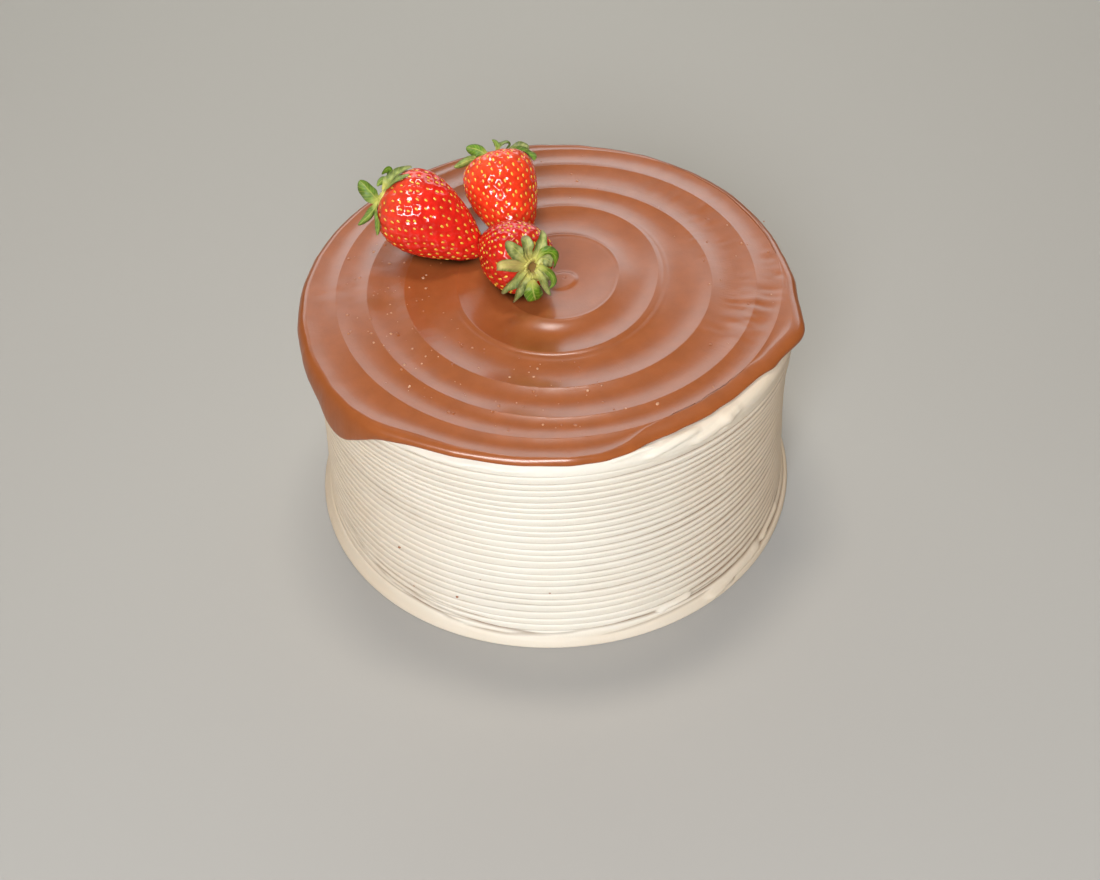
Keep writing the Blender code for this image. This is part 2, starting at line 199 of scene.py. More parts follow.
# Crest lines: mean radius in mm, then cos, sin, cos 2 and sin 2 parts of its angle
SWIRL_CRESTS = (
    (24.9, -1.7, 1.1, -1.6, 0.5),
    (42.8, -2.8, 1.5, -2.9, 1.2),
    (61.3, -2.7, -1.6, -0.7, 0.2),
    (77.5, -1.4, -0.9, -0.7, 0.2),
    (88.6, -2.4, -0.3, -0.6, 0.8),
)
# The lip on each crest line, and the notch inside it in shares of the lip's height and width
LIP_HEIGHTS_MM = (0.10, 0.0, 0.01, 0.01, 0.0)
LIP_WIDTH = 0.0005
NOTCH_DEPTH = 0.45
NOTCH_PLACE = 1.9
NOTCH_WIDTH = 1.1
# A second fine line outside the second crest, round the side that SECOND_LINE_MIDDLE points to
SECOND_LINE = (45.3, -2.6, 0.8, -2.4, 1.0)
SECOND_LINE_HEIGHT = 0.00016
SECOND_LINE_MIDDLE = -1.0
# The dent past the first crest: middle and half width in degrees and depth in mm, then where it
# starts and ends past the crest in mm, each with the length of its slope
DENT_MM = ((-104, 17, 0.72),)
DENT_START_MM = (1.0, 6.5)
DENT_END_MM = (19.0, 11.0)
# The lift-off mark by the centre, turned this many degrees
TONGUE_PLACE = (0.0052, 0.0040)
TONGUE_TURN = 28
TONGUE_LENGTH = 0.0066
TONGUE_WIDTH = 0.0052
TONGUE_HEIGHT = 0.00055
# Drag marks: faint all round, strong at the right, from this radius outwards
DRAG_FAINT = 0.25
DRAG_CHANGES = ((4, 32, 1.6),)
DRAG_FROM = 0.044
DRAG_SLOPE = 0.012
DRAG_EDGE = 0.0025
# The poured rim: azimuth, outer radius in mm, lower edge in mm, width of its roll in mm
RIM = (
    (-165, 99.6, 91.5, 4.4),
    (-152, 100.4, 88.0, 4.6),
    (-143, 101.8, 82.8, 4.8),
    (-137, 101.3, 88.0, 4.6),
    (-131, 99.8, 94.0, 4.2),
    (-124, 97.4, 96.4, 3.8),
    (-112, 95.4, 97.0, 2.8),
    (-95, 95.2, 97.1, 2.0),
    (-78, 95.0, 97.1, 2.4),
    (-68, 92.6, 97.6, 5.6),
    (-50, 92.5, 97.6, 6.4),
    (-35, 94.4, 97.3, 5.6),
    (-25, 98.2, 96.6, 5.2),
    (-18, 101.2, 96.0, 5.4),
    (-11, 98.8, 95.6, 4.6),
    (0, 97.2, 95.4, 3.8),
    (22, 96.9, 95.2, 3.6),
    (45, 98.7, 94.6, 3.6),
    (70, 100.2, 94.2, 3.6),
    (90, 100.9, 94.2, 3.4),
    (115, 99.6, 94.2, 3.6),
    (145, 98.8, 93.8, 3.8),
    (178, 98.9, 93.0, 4.2),
)
RIM_BULGE = 0.0022
RIM_BULGE_SHARE = 0.36
RIM_WALL = 0.0012
RIM_WAVES = 0.00034
# The share of the waves that is gone in front
RIM_CALM = ((-98, 24, 0.75),)
RIM_LIP = 0.0005
RIM_REST = 0.00015
# The roll's section is a quarter ellipse where this is 0, and flatter where it is more
ROLL_FLATNESS = ((-95, 22, 0.5),)
TOP_REACH = 0.104
TOP_COLUMNS = 480
DISH_ROWS = 40
TROUGH_ROWS = 26
ROLL_ROWS = 17
TUCK_ROWS = 6
# How far the painted contact shadow reaches round each berry on the chocolate
CONTACT_SHADE_REACH = 0.0027
SPECK_REACH = 0.089
SPECK_OUTERMOST = 0.094
SPECK_RADIUS_MM = 0.22
SPECK_SPREAD_MM = 0.42

# Strawberries: centre in mm, azimuth and elevation of the axis towards the leaves,
# length and radius in mm, then how much the shoulders widen and how blunt the ends are
BERRIES = {
    "left": ((-44.5, 25.8, 114.0), 157.8, 27.4, 45.7, 16.4, 0.44, 0.91),
    "back": ((-15.4, 38.1, 114.0), 106.7, 34.0, 39.6, 14.9, 0.47, 0.61),
    "front": ((-14.1, 6.7, 113.6), -60.3, 13.4, 34.9, 14.0, 0.35, 0.78),
}
BERRY_LOBES = 0.018
BERRY_DIMPLE = 0.0012
BERRY_LUMPS = 0.00025
BERRY_ROWS = 176
BERRY_COLUMNS = 240
# How much of the berry's red, green and blue each one has, and how pale its shoulders are
BERRY_TINTS = {"left": (1.0, 1.0, 1.0), "back": (1.14, 2.4, 1.2), "front": (0.86, 0.4, 0.6)}
BERRY_LIFTS = {"left": 0.5, "back": 0.7, "front": 0.2}
SEED_COUNTS = {"left": 318, "back": 300, "front": 300}
SEED_ROWS = 7
SEED_COLUMNS = 10
# Seeds start at this polar angle from the leaves, in radians
SEED_FROM = 0.42
SEED_WIDTH = 0.54
SEED_TAPER = 0.35
SEED_FLATNESS = 0.55
SEED_RISE = 0.00014
DIMPLE_WIDTH = 0.00115
PUFF_HEIGHT = 0.00016
PUFF_FROM = 0.0010
PUFF_SLOPE = 0.0016
GOLDEN_TURN = math.pi * (3.0 - math.sqrt(5.0))

# Sepals: root, two bends and tip in mm from the crown (across, up, out along the axis), then
# width in mm, bluntness, tilt and twist in degrees, cup across, and tone: 0 fresh, 1 dull, 1.5 tan
SEPALS = {
    "left": (
        ((4.5, -2, -0.5), (5.5, -1, 2.5), (5, 0, 6), (4, 1, 10.5), 6.4, 6, 105, 10, 0.5, 0.25),
        ((-1, 1.5, 0), (-5, 3, 0.5), (-7, 4.5, 2.8), (-3, 3.5, 4.5), 4.2, 4, 45, 10, 0.5, 0.20),
        ((1, 2.5, -0.5), (-0.5, 4, 0.8), (0.5, 4.5, 2.4), (3.5, 3, 3), 4.4, 3, 45, 15, 0.6, 0.35),
        ((2.5, 2.5, -0.3), (1.2, 6.8, -0.2), (-3, 9.2, -1.8), (-8.6, 11.2, -4), 6.6, 4, 62, 0, 0.3, 0.62),
        ((2.6, 2.5, -0.6), (4, 8.5, -1.6), (2, 12, -3.6), (0.4, 15, -5.9), 4.6, 3, 10, 10, 0.5, 0.50),
        ((4.5, -1.5, -0.5), (9, -3.5, -0.5), (13, -5.5, 0), (16.5, -8, 1.5), 3.8, 3, 55, 20, 0.9, 0.35),
        ((4.5, -2.5, -0.8), (10.5, -2, -3), (15, -2.5, -5.5), (19, -4.5, -7.5), 3.8, 3, 55, 20, 0.7, 0.25),
        ((3, -4, 0), (2, -7, 1), (0.5, -10, 1.5), (-1, -12.5, 1), 4.2, 4, 0, 10, 0.5, 0.15),
        ((-2, -2.5, 0), (-5.5, -5, 0.3), (-9, -7.5, -0.5), (-12, -9, -3), 5, 3, 0, 8, 0.4, 0.45),
        ((-3, 0.5, 0), (-7, 0, 0.6), (-10.5, -1, 0), (-14, -1.5, -2.5), 4.8, 3, 0, -8, 0.4, 0.40),
    ),
    "back": (
        ((2, -0.5, 0.5), (4.5, 0, 3), (7, -0.5, 5), (9.8, -1, 6.6), 5.4, 5, 70, 0, 0.4, 0.05),
        ((3.5, -2, 0), (8, -1.5, 1.2), (12.5, -0.5, 0.2), (17, -0.5, -0.6), 3.8, 4, 40, 30, 0.7, 0.50),
        ((-2, 1, 0.5), (-2.5, 0.5, 3), (-2.5, 0, 5.2), (-1.5, -0.5, 7.6), 4.4, 2.4, 80, 15, 0.6, 0.35),
        ((-3, 1, 0.5), (-4, 0.5, 4.2), (-7.6, 0, 4.8), (-6, -0.5, 2.4), 3.4, 3, 35, 10, 0.6, 0.50),
        ((-4, -0.5, 0), (-9, -1, 1.4), (-13, -0.5, 2), (-15.5, -0.5, 0.2), 4.6, 4, 60, 20, 0.6, 0.85),
        ((-4, 1, 0), (-9, 2, -0.5), (-13, 3.2, -3), (-15.5, 3.5, -6.5), 5.6, 8, 62, 0, 0.4, 0.02),
        ((0, -3, 0), (0, -6.5, 1), (1, -10.5, 0), (0, -14, -2), 5.2, 3, 0, 10, 0.4, 0.45),
        ((-3, -3, 0), (-6, -6, 1), (-9, -8, 0.2), (-11.5, -10, -2), 4.8, 4, 0, -10, 0.5, 0.50),
        ((3, -3, 0), (5, -7, 1), (8, -10, 0.2), (10, -12.5, -2), 4.8, 3, 0, 10, 0.5, 0.40),
    ),
    "front": (
        ((-2, 3, 0), (-5.5, 8, 1.5), (-8, 12, 1.8), (-9.5, 15, 1), 5.8, 4, -12, 0, 0.6, 0.80),
        ((-1, 3, 0), (-2, 7.5, 1.8), (-2, 11.5, 2.5), (-1.5, 14, 0.2), 5, 8, 10, -10, 0.5, 0.85),
        ((0.5, 3, 0), (2.5, 6.5, 1.5), (5, 9.5, 1.2), (6.5, 13.2, -0.8), 6.2, 3, -6, 10, 0.6, 0.80),
        ((1.5, 1.5, 0), (4.5, 6, 3), (8, 4, 4.2), (7.5, -3, 2), 3.6, 4, 20, 0, -0.5, 0.08),
        ((1.5, -0.5, 0), (4.5, -2, 3), (6.5, -6.5, 3), (4.5, -11, 1), 3.4, 3, 35, 10, 0.6, 0.25),
        ((1, -1.5, 0), (2, -5, 2.2), (3.5, -10, 1.2), (6, -15, -0.5), 3.4, 2.4, 10, 10, 0.5, 0.70),
        ((-1.5, -4.5, 1), (-2.8, -7, 3.4), (-2.6, -10.5, 3.6), (-1, -12.6, 0.4), 7.4, 8, 0, 0, -0.6, 0),
        ((1.5, 1, 0), (4.5, 3, 1.2), (7, 1, 1.6), (8.4, -1.5, 0.6), 6, 6, 0, 0, 0.4, 0.95),
        ((1, -1, 0), (3, -3, 1.2), (4.2, -5.5, 1.4), (4.4, -8, 0.4), 6, 6, 0, 0, 0.4, 0.95),
        ((-1.5, -1.5, 0), (-5, -4, 0.6), (-7.5, -8, -0.6), (-9.5, -13, -3), 5.8, 2.4, -5, -15, 0.6, 0.92),
        ((-3, 0.5, 0), (-7, -1, 1), (-11, -3.5, 0.2), (-14.2, -6.5, -1.2), 5.4, 4, -12, 0, 0.5, 0.75),
        ((-2.5, 2, 0), (-7.5, 4, 1.5), (-12.5, 6.5, 2.4), (-15, 4.5, 0), 4.8, 5, 0, 25, 0.5, 1.4),
    ),
}
SEPAL_THICKNESS = 0.00045
SEPAL_CLEAR = 0.00035
SEPAL_ROWS = 36
SEPAL_COLUMNS = 32
CROWN_RADIUS = 0.0058
CROWN_HEIGHT = 0.0022
CROWN_HOLLOW = 0.0028
CROWN_RIBS = 0.00036
CROWN_LEAST = 0.00035
CROWN_WALL = 0.0006
CROWN_SUNK = 0.0003
CROWN_LEAN_TURN = math.radians(45)
CROWN_ROWS = 20
CROWN_COLUMNS = 60
# What the crown has as its place along a sepal, which tells the leaf finish that it is crown
CROWN_MARK = -0.2

# Colours that the settings leave out
# Painted shade in the cream's deep grooves
GROOVE_PAINTED_SHADE = (0.21, 0.11, 0.05, 1.0)
SPECK_PALE = (0.62, 0.31, 0.16, 1.0)
CRUMB_DARK = (0.20, 0.05, 0.02, 1.0)
CRUMB_PALE = (0.50, 0.22, 0.10, 1.0)
SEED_BROWN = (0.74, 0.38, 0.03, 1.0)
LEAF_DULL_DARK = (0.17, 0.20, 0.04, 1.0)
LEAF_DULL_PALE = (0.50, 0.49, 0.17, 1.0)
LEAF_TAN = (0.56, 0.40, 0.12, 1.0)
LEAF_EDGE = (0.075, 0.10, 0.02, 1.0)
LEAF_DRY = (0.20, 0.13, 0.06, 1.0)
CROWN_BROWN = (0.26, 0.14, 0.035, 1.0)
FLOOR_DARK = (0.38, 0.34, 0.285, 1.0)
FLOOR_PALE = (0.41, 0.37, 0.315, 1.0)
AIR_COLOUR = (1.0, 0.58, 0.30, 1.0)
AIR_STRENGTH = 0.10
BACKDROP_COLOUR = (0.80, 0.80, 0.79, 1.0)

# Light panels about LIGHT_AIM: azimuth, elevation, distance, width and height, the setting that
# gives the brightness and the panel's share of it, colour, and the rays that don't see it
LIGHT_AIM = (0.0, 0.0, 0.10)
PANELS = {
    "overhead": (96, 77, 1.1, 0.36, 0.17, "key", 1.0, (1.0, 0.98, 0.95), ()),
    "front": (-98, 35, 1.5, 0.74, 0.70, "front", 1.0, (0.89, 1.02, 1.20), ("visible_glossy",)),
    "glint": (-112, 39, 1.5, 1.0, 0.32, "glint", 1.0, (1.0, 1.0, 1.0), ("visible_diffuse",)),
    "back": (90, 27, 1.25, 2.1, 0.50, "back", 1.0, (0.84, 0.98, 1.03), ()),
    "back_upper": (90, 42.5, 1.25, 2.0, 0.20, "back", 0.30, (0.84, 0.98, 1.03), ()),
}
FLOOR_RINGS = (3.0, 3.0, 2.0, 1.0, 0.4)
FLOOR_DEPTH = 0.02

# Camera fitted to the photograph's view: metres, radians, and pixels of its width
CAMERA_PLACE = (-0.0019145, -0.429241, 0.451156)
CAMERA_DOWN = 0.794526
CAMERA_ROLL = -0.042306
CAMERA_FOCAL = 1400.0
PHOTO_WIDTH = 1100.0
SENSOR_WIDTH = 36.0


class CakeCreamSettings(bpy.types.PropertyGroup):
    """Sizes and colour of the cream coat."""

    # Painted light: the cream's colour where its front is lit
    colour: bpy.props.FloatVectorProperty(
        name="Cream colour", description="Colour of the whipped cream",
        subtype="COLOR", size=3, min=0.0, max=1.0, default=(0.81, 0.705, 0.555))
    # Painted shade: the cream's colour where the sides and back fall in shade
    tan: bpy.props.FloatVectorProperty(
        name="Tan cream colour", description="Warmer colour of the cream round the sides and back",
        subtype="COLOR", size=3, min=0.0, max=1.0, default=(0.68, 0.515, 0.34))
    groove_depth: bpy.props.FloatProperty(
        name="Groove depth", description="How deep the comb cut into the cream",
        unit="LENGTH", default=0.00085, min=0.0, max=0.002)
    ridge_round: bpy.props.FloatProperty(
        name="Ridge rounding", description="How far the ridges fall away towards the grooves",
        unit="LENGTH", default=0.00028, min=0.0, max=0.001)
    unevenness: bpy.props.FloatProperty(
        name="Unevenness", description="Slow swells left by the palette knife",
        unit="LENGTH", default=0.000132, min=0.0, max=0.002)


class CakeChocolateSettings(bpy.types.PropertyGroup):
    """Colour and detail of the chocolate top."""

    colour: bpy.props.FloatVectorProperty(
        name="Chocolate colour", description="Colour of the milk chocolate icing",
        subtype="COLOR", size=3, min=0.0, max=1.0, default=(0.316, 0.083, 0.0205))
    drag: bpy.props.FloatProperty(
        name="Drag marks", description="Height of the short marks that the spatula dragged",
        unit="LENGTH", default=0.00009, min=0.0, max=0.001)
    specks: bpy.props.IntProperty(
        name="Specks", description="Number of tiny pimples in the chocolate",
        default=170, min=0, max=600)


class CakeBerrySettings(bpy.types.PropertyGroup):
    """Colours and seeds of the strawberries."""

    colour: bpy.props.FloatVectorProperty(
        name="Berry colour", description="Red of the ripe skin",
        subtype="COLOR", size=3, min=0.0, max=1.0, default=(0.73, 0.017, 0.009))
    shoulder_colour: bpy.props.FloatVectorProperty(
        name="Shoulder colour", description="Paler colour near the leaves",
        subtype="COLOR", size=3, min=0.0, max=1.0, default=(0.88, 0.20, 0.075))
    seed_colour: bpy.props.FloatVectorProperty(
        name="Seed colour", description="Gold of the seeds",
        subtype="COLOR", size=3, min=0.0, max=1.0, default=(0.86, 0.54, 0.05))
    dimple_depth: bpy.props.FloatProperty(
        name="Seed dimple depth", description="How deep each seed sits in the skin",
        unit="LENGTH", default=0.00042, min=0.0, max=0.001)
    seed_length: bpy.props.FloatProperty(
        name="Seed length", description="Length of one seed",
        unit="LENGTH", default=0.0015, min=0.0005, max=0.003)


class CakeLeafSettings(bpy.types.PropertyGroup):
    """Colours of the strawberry leaves."""

    green: bpy.props.FloatVectorProperty(
        name="Leaf green", description="Fresh green of the sepals",
        subtype="COLOR", size=3, min=0.0, max=1.0, default=(0.105, 0.205, 0.008))
    pale: bpy.props.FloatVectorProperty(
        name="Leaf root", description="Pale yellow where the sepals join",
        subtype="COLOR", size=3, min=0.0, max=1.0, default=(0.66, 0.57, 0.13))


class CakeStageSettings(bpy.types.PropertyGroup):
    """Strength of the studio light."""

    key: bpy.props.FloatProperty(
        name="Overhead light", description="Brightness of the small overhead panel",
        default=26.0, min=0.0)
    front: bpy.props.FloatProperty(
        name="Front light", description="Brightness of the broad panel in front",
        default=17.2, min=0.0)
    glint: bpy.props.FloatProperty(
        name="Glint light", description="Brightness of the small panel that wet skins mirror",
        default=30.0, min=0.0)
    back: bpy.props.FloatProperty(
        name="Back light", description="Brightness of the broad panel behind",
        default=2.6, min=0.0)


def smoothstep(value):
    """0 below 0, 1 above 1, and an even S between."""
    held = np.clip(value, 0.0, 1.0)
    return held * held * (3.0 - 2.0 * held)


def bell(distance):
    """1 at no distance, falling as exp of minus the square."""
    return np.exp(-(distance ** 2))


def turn_between(azimuth, middle):
    """Signed degrees from middle to azimuth, the short way round."""
    return (np.asarray(azimuth) - middle + 180.0) % 360.0 - 180.0


def swells(azimuth, rows):
    """Sum of bells round the cake, from rows of middle and half width in degrees, and size."""
    return sum(size * bell(turn_between(azimuth, middle) / width) for middle, width, size in rows)


def patchy(around, up, cells_around, cells_up, seed):
    """Smooth random relief from -1 to 1: random heights on a lattice, blended by S curves.

    Around runs from 0 to 1 and repeats; up runs from 0 to 1.
    """
    heights = np.random.default_rng(seed).uniform(-1, 1, (cells_up + 2, cells_around))
    x = (around % 1.0) * cells_around
    y = np.clip(up, 0.0, 1.0) * cells_up
    i = np.floor(x).astype(int)
    j = np.floor(y).astype(int)
    s = smoothstep(x - i)
    t = smoothstep(y - j)
    i = i % cells_around
    after = (i + 1) % cells_around
    low = heights[j, i] * (1 - s) + heights[j, after] * s
    high = heights[j + 1, i] * (1 - s) + heights[j + 1, after] * s
    return low * (1 - t) + high * t


def closed_skins(name, grids, first, last, surface, marks=None):
    """One object of closed skins, each a grid whose rows close on themselves, with two poles.

    Rows run anticlockwise seen from the last pole. Grids are (skins, rows, columns, 3), and
    marks, a value of three parts for each point, are kept as the mesh's attribute "marks".
    """
    count, rows, columns = grids.shape[:3]
    points = np.concatenate([grids.reshape(count, -1, 3), first[:, None], last[:, None]], axis=1)
    size = rows * columns + 2
    start = np.arange(count)[:, None] * size
    column = np.arange(columns)
    after = (column + 1) % columns
    row = (np.arange(rows - 1) * columns)[:, None]
    quads = np.stack([row + column, row + after,
                      row + columns + after, row + columns + column], axis=-1).reshape(-1, 4)
    bottom = np.stack([np.full(columns, size - 2), after, column], axis=-1)
    top_row = (rows - 1) * columns
    top = np.stack([np.full(columns, size - 1), top_row + column, top_row + after], axis=-1)
    triangles = np.concatenate([bottom, top])
    quad_corners = (start[:, :, None] + quads[None]).reshape(-1)
    triangle_corners = (start[:, :, None] + triangles[None]).reshape(-1)
    corners = np.concatenate([quad_corners, triangle_corners])
    quad_total = len(quad_corners) // 4
    loop_start = np.concatenate([np.arange(quad_total) * 4,
                                 quad_total * 4 + np.arange(len(triangle_corners) // 3) * 3])
    mesh = bpy.data.meshes.new(name)
    mesh.vertices.add(count * size)
    mesh.vertices.foreach_set("co", points.reshape(-1).astype(np.float32))
    mesh.loops.add(len(corners))
    mesh.loops.foreach_set("vertex_index", corners.astype(np.int32))
    mesh.polygons.add(len(loop_start))
    mesh.polygons.foreach_set("loop_start", loop_start.astype(np.int32))
    mesh.update(calc_edges=True)
    mesh.shade_smooth()
    if marks is not None:
        layer = mesh.attributes.new("marks", "FLOAT_VECTOR", "POINT")
        layer.data.foreach_set("vector", marks.reshape(-1).astype(np.float32))
    mesh.materials.append(surface)
    made = bpy.data.objects.new(name, mesh)
    bpy.context.scene.collection.objects.link(made)
    return made


def pole_marks(marks):
    """Marks of one grid with the mean of its first and last rows added for the poles."""
    flat = marks.reshape(marks.shape[0], -1, 3)
    first = marks[:, 0].mean(axis=1)[:, None]
    last = marks[:, -1].mean(axis=1)[:, None]
    return np.concatenate([flat, first, last], axis=1)


def skin_normals(grid):
    """Unit outward normals of a grid whose rows close on themselves."""
    around = np.roll(grid, -1, axis=1) - np.roll(grid, 1, axis=1)
    along = np.gradient(grid, axis=0)
    normal = np.cross(around, along)
    return normal / (np.linalg.norm(normal, axis=-1, keepdims=True) + 1e-12)


def about_axis(radius, azimuth, z):
    """Points at these radii, azimuths in degrees and heights."""
    angle = np.radians(azimuth)
    return np.stack(np.broadcast_arrays(radius * np.cos(angle), radius * np.sin(angle), z), -1)


# Cream coat

def body_radius(azimuth, z):
    """Radius of the combed side's crests: a waisted barrel that flares at both ends."""
    angle = np.radians(azimuth)
    lower = LOWER_SPREAD * np.clip(1.0 - z / WAIST_Z, 0.0, 1.0) ** 1.3
    flare = BASE_FLARE * np.exp(-((z / BASE_FLARE_HEIGHT) ** 2))
    share = smoothstep((z - UPPER_SPREAD_FROM) / UPPER_SPREAD_HEIGHT)
    off = turn_between(azimuth, FLAT_SPOT_AZIMUTH)
    flat_spot = FLAT_SPOT_DEPTH * share * bell(off / FLAT_SPOT_WIDTH)
    lean = (z / BODY_TOP_Z) * (LEAN_BACK * np.sin(angle) + LEAN_RIGHT * np.cos(angle))
    wobble = 0.25 * MM * np.sin(2 * angle + 1.0) + 0.15 * MM * np.sin(5 * angle + z / 0.02)
    return WAIST_RADIUS + lower + flare + UPPER_SPREAD * share - flat_spot + lean + wobble


def comb_wander(azimuth, mark):
    """How far a comb mark strays up or down: wander (sin(a + 0.31 m) + 0.6 sin(3a + 1.7 m)).

    The straying dies away towards the foot and the shoulder.
    """
    angle = np.radians(azimuth)
    level = COMB_FIRST_Z + COMB_PITCH * mark
    held = smoothstep(level / 0.006) * smoothstep((BODY_TOP_Z - SHOULDER - level) / 0.004)
    waves = np.sin(angle + 0.31 * mark) + 0.6 * np.sin(3 * angle + 1.7 * mark)
    return COMB_WANDER * held * waves


def comb_number(azimuth, z):
    """Number of the comb mark at a height, whole at each groove, found by corrections."""
    mark = (z - COMB_FIRST_Z) / COMB_PITCH
    for _ in range(5):
        mark = (z - COMB_FIRST_Z - comb_wander(azimuth, mark)) / COMB_PITCH
    return mark


def side_heights(azimuth):
    """Heights of the side's rows, which follow the comb marks round the cake."""
    marks = (np.arange(COMB_MARKS)[:, None] + np.array(MARK_ROWS)).reshape(-1)
    first = (SIDE_FROM_Z - COMB_FIRST_Z) / COMB_PITCH
    last = (BODY_TOP_Z - SHOULDER - COMB_FIRST_Z) / COMB_PITCH
    marks = marks[(marks > -0.6) & (marks < last - 0.05)]
    foot = np.linspace(first, marks[0], 11)[:-1]
    marks = np.concatenate([foot, marks, [last]])[:, None]
    return COMB_FIRST_Z + COMB_PITCH * marks + comb_wander(azimuth, marks)


def cream_relief(azimuth, z, settings):
    """Height of the cream above the crests' surface: grooves, bands, scores, dabs and flaps.

    Each groove is a narrow bell cut, and each ridge leans out as it rises to the next groove:
    with s the way up from one groove and d the way to the nearest, in pitches, it falls in by
    rounding times 0.6 (1 - 2 d) ** 2 + 1.4 (1 - s). Both fade into a plain band below the
    chocolate and another at the foot. A flap has a ragged, sharp lower edge and thins upwards.
    """
    mark = comb_number(azimuth, z)
    around = azimuth / 360.0
    up = z / BODY_TOP_Z
    off = np.abs(mark - np.round(mark))
    by_side = 1.0 + swells(azimuth, GROOVE_CHANGES)
    uneven = 1.0 + 0.30 * patchy(around, up, 34, 27, seed=11) + 0.25 * patchy(around, up, 9, 8, seed=12)
    strength = by_side * uneven
    width = GROOVE_HALF_WIDTH + swells(azimuth, GROOVE_WIDENING)
    groove = settings.groove_depth * strength * bell(off / width)
    above = mark - np.floor(mark)
    ridge = settings.ridge_round * (0.6 * (1.0 - 2.0 * off) ** 2 + 1.4 * (1.0 - above))
    plain_from = (PLAIN_FROM_MM + swells(azimuth, PLAIN_CHANGES_MM)
                  + 0.7 * np.sin(np.radians(2 * azimuth + 40)))
    plain = smoothstep((z / MM - plain_from) / PLAIN_FADE_MM)
    foot_to = (FOOT_TO_MM + swells(azimuth, FOOT_CHANGES_MM)
               + 0.5 * np.sin(np.radians(3 * azimuth)))
    foot = smoothstep((foot_to - z / MM) / FOOT_FADE_MM)
    turn, height, half_round, half_up, wiped_away = WIPED
    wiped = bell(turn_between(azimuth, turn) / half_round) * bell((z / MM - height) / half_up)
    combed = (1.0 - plain) * (1.0 - foot) * (1.0 - wiped_away * wiped)
    relief = PLAIN_RISE_MM * MM * plain - combed * (groove + ridge)
    for from_turn, to_turn, from_mm, to_mm, depth in SCORES:
        share = turn_between(azimuth, from_turn) / (to_turn - from_turn)
        line = (from_mm + (to_mm - from_mm) * smoothstep(share)
                + SCORE_WANDER_MM * np.sin(np.radians(7 * azimuth) + from_mm))
        ends = smoothstep(share / SCORE_END) * smoothstep((1.0 - share) / SCORE_END)
        relief = relief - depth * MM * ends * bell((z / MM - line) / SCORE_HALF_WIDTH_MM)
    for turn, height, half_round, half_up, rise in DABS:
        reach = WAIST_RADIUS / MM * np.radians(turn_between(azimuth, turn)) / half_round
        relief = relief + rise * MM * bell(reach) * bell((z / MM - height) / half_up)
    ragged = (FLAP_RAGGED_MM * patchy(around, 0 * up, 74, 1, seed=16)
              + FLAP_FRINGE_MM * patchy(around, 0 * up, 150, 1, seed=17))
    for from_turn, to_turn, from_mm, to_mm, tall, rise in FLAPS:
        share = turn_between(azimuth, from_turn) / (to_turn - from_turn)
        ends = smoothstep(share / FLAP_END) * smoothstep((1.0 - share) / FLAP_END)
        past = z / MM - (from_mm + (to_mm - from_mm) * share + ragged)
        flap = smoothstep(past / FLAP_EDGE_MM) * smoothstep((tall - past) / FLAP_FADE_MM + 1.0)
        relief = relief + rise * MM * ends * flap
    swell = patchy(around, up, 14, 9, seed=13) + 0.5 * patchy(around, up, 40, 18, seed=14)
    fine = patchy(around, up, 184, 90, seed=15)
    return relief + settings.unevenness * swell + FINE_RELIEF_MM * MM * fine


def make_cream_coat(settings):
    """The cream: flat foot, flared base, combed side, round shoulder, flat top.

    The mark x of a point is how deep it lies in a groove, which sets its painted shade, and y how pale the
    cream is there: painted light in front, painted shade round the sides and at the foot.
    """
    azimuth = np.arange(CREAM_COLUMNS) * 360.0 / CREAM_COLUMNS - 180.0
    shoulder_z = BODY_TOP_Z - SHOULDER
    base = body_radius(azimuth, 0.0)
    rows = [about_axis(share * base, azimuth, 0.0) for share in BASE_RINGS]
    rows += [about_axis(base - inwards * MM, azimuth, up * MM) for inwards, up in FOOT_EDGE_MM]
    side_z = side_heights(azimuth)
    around = np.broadcast_to(azimuth, side_z.shape)
    side_relief = cream_relief(around, side_z, settings) * smoothstep(side_z / (1.5 * MM))
    side = about_axis(body_radius(around, side_z) + side_relief, around, side_z)
    bends = np.radians(np.linspace(6, 90, SHOULDER_ROWS))[:, None]
    around = np.broadcast_to(azimuth, (SHOULDER_ROWS, CREAM_COLUMNS))
    arc_z = shoulder_z + SHOULDER * np.sin(bends)
    fade = smoothstep((math.radians(96) - bends) / 0.7)
    relief = cream_relief(around, arc_z, settings) * fade
    arc_radius = body_radius(around, shoulder_z) - SHOULDER + (SHOULDER + relief) * np.cos(bends)
    shoulder = about_axis(arc_radius, around, arc_z + relief * np.sin(bends))
    inner = [about_axis(share * (body_radius(azimuth, shoulder_z) - SHOULDER), azimuth, BODY_TOP_Z)
             for share in TOP_RINGS]
    grid = np.concatenate([np.array(rows), side, shoulder, np.array(inner)])[None]
    marks = np.zeros(grid.shape)
    # Painted shade: the deeper the groove, the more brown its cream gets
    marks[0, len(rows):len(rows) + len(side), :, 0] = np.clip(-side_relief / GROOVE_SHADE_FULL_DEPTH, 0, 1)
    # Painted light and shade: pale in front, tan round the sides, and less pale towards the foot
    foot = smoothstep((FOOT_PAINTED_SHADE_MM - grid[..., 2] / MM) / FOOT_PAINTED_SHADE_FADE_MM)
    marks[..., 1] = swells(azimuth, PAINTED_FRONT_LIGHT) * (1.0 - FOOT_PAINTED_SHADE_SHARE * foot)
    first = np.array([[0.0, 0.0, 0.0]])
    last = np.array([[0.0, 0.0, BODY_TOP_Z]])
    return closed_skins("cream_coat", grid, first, last, cream_material(settings),
                        pole_marks(marks))


# Chocolate top

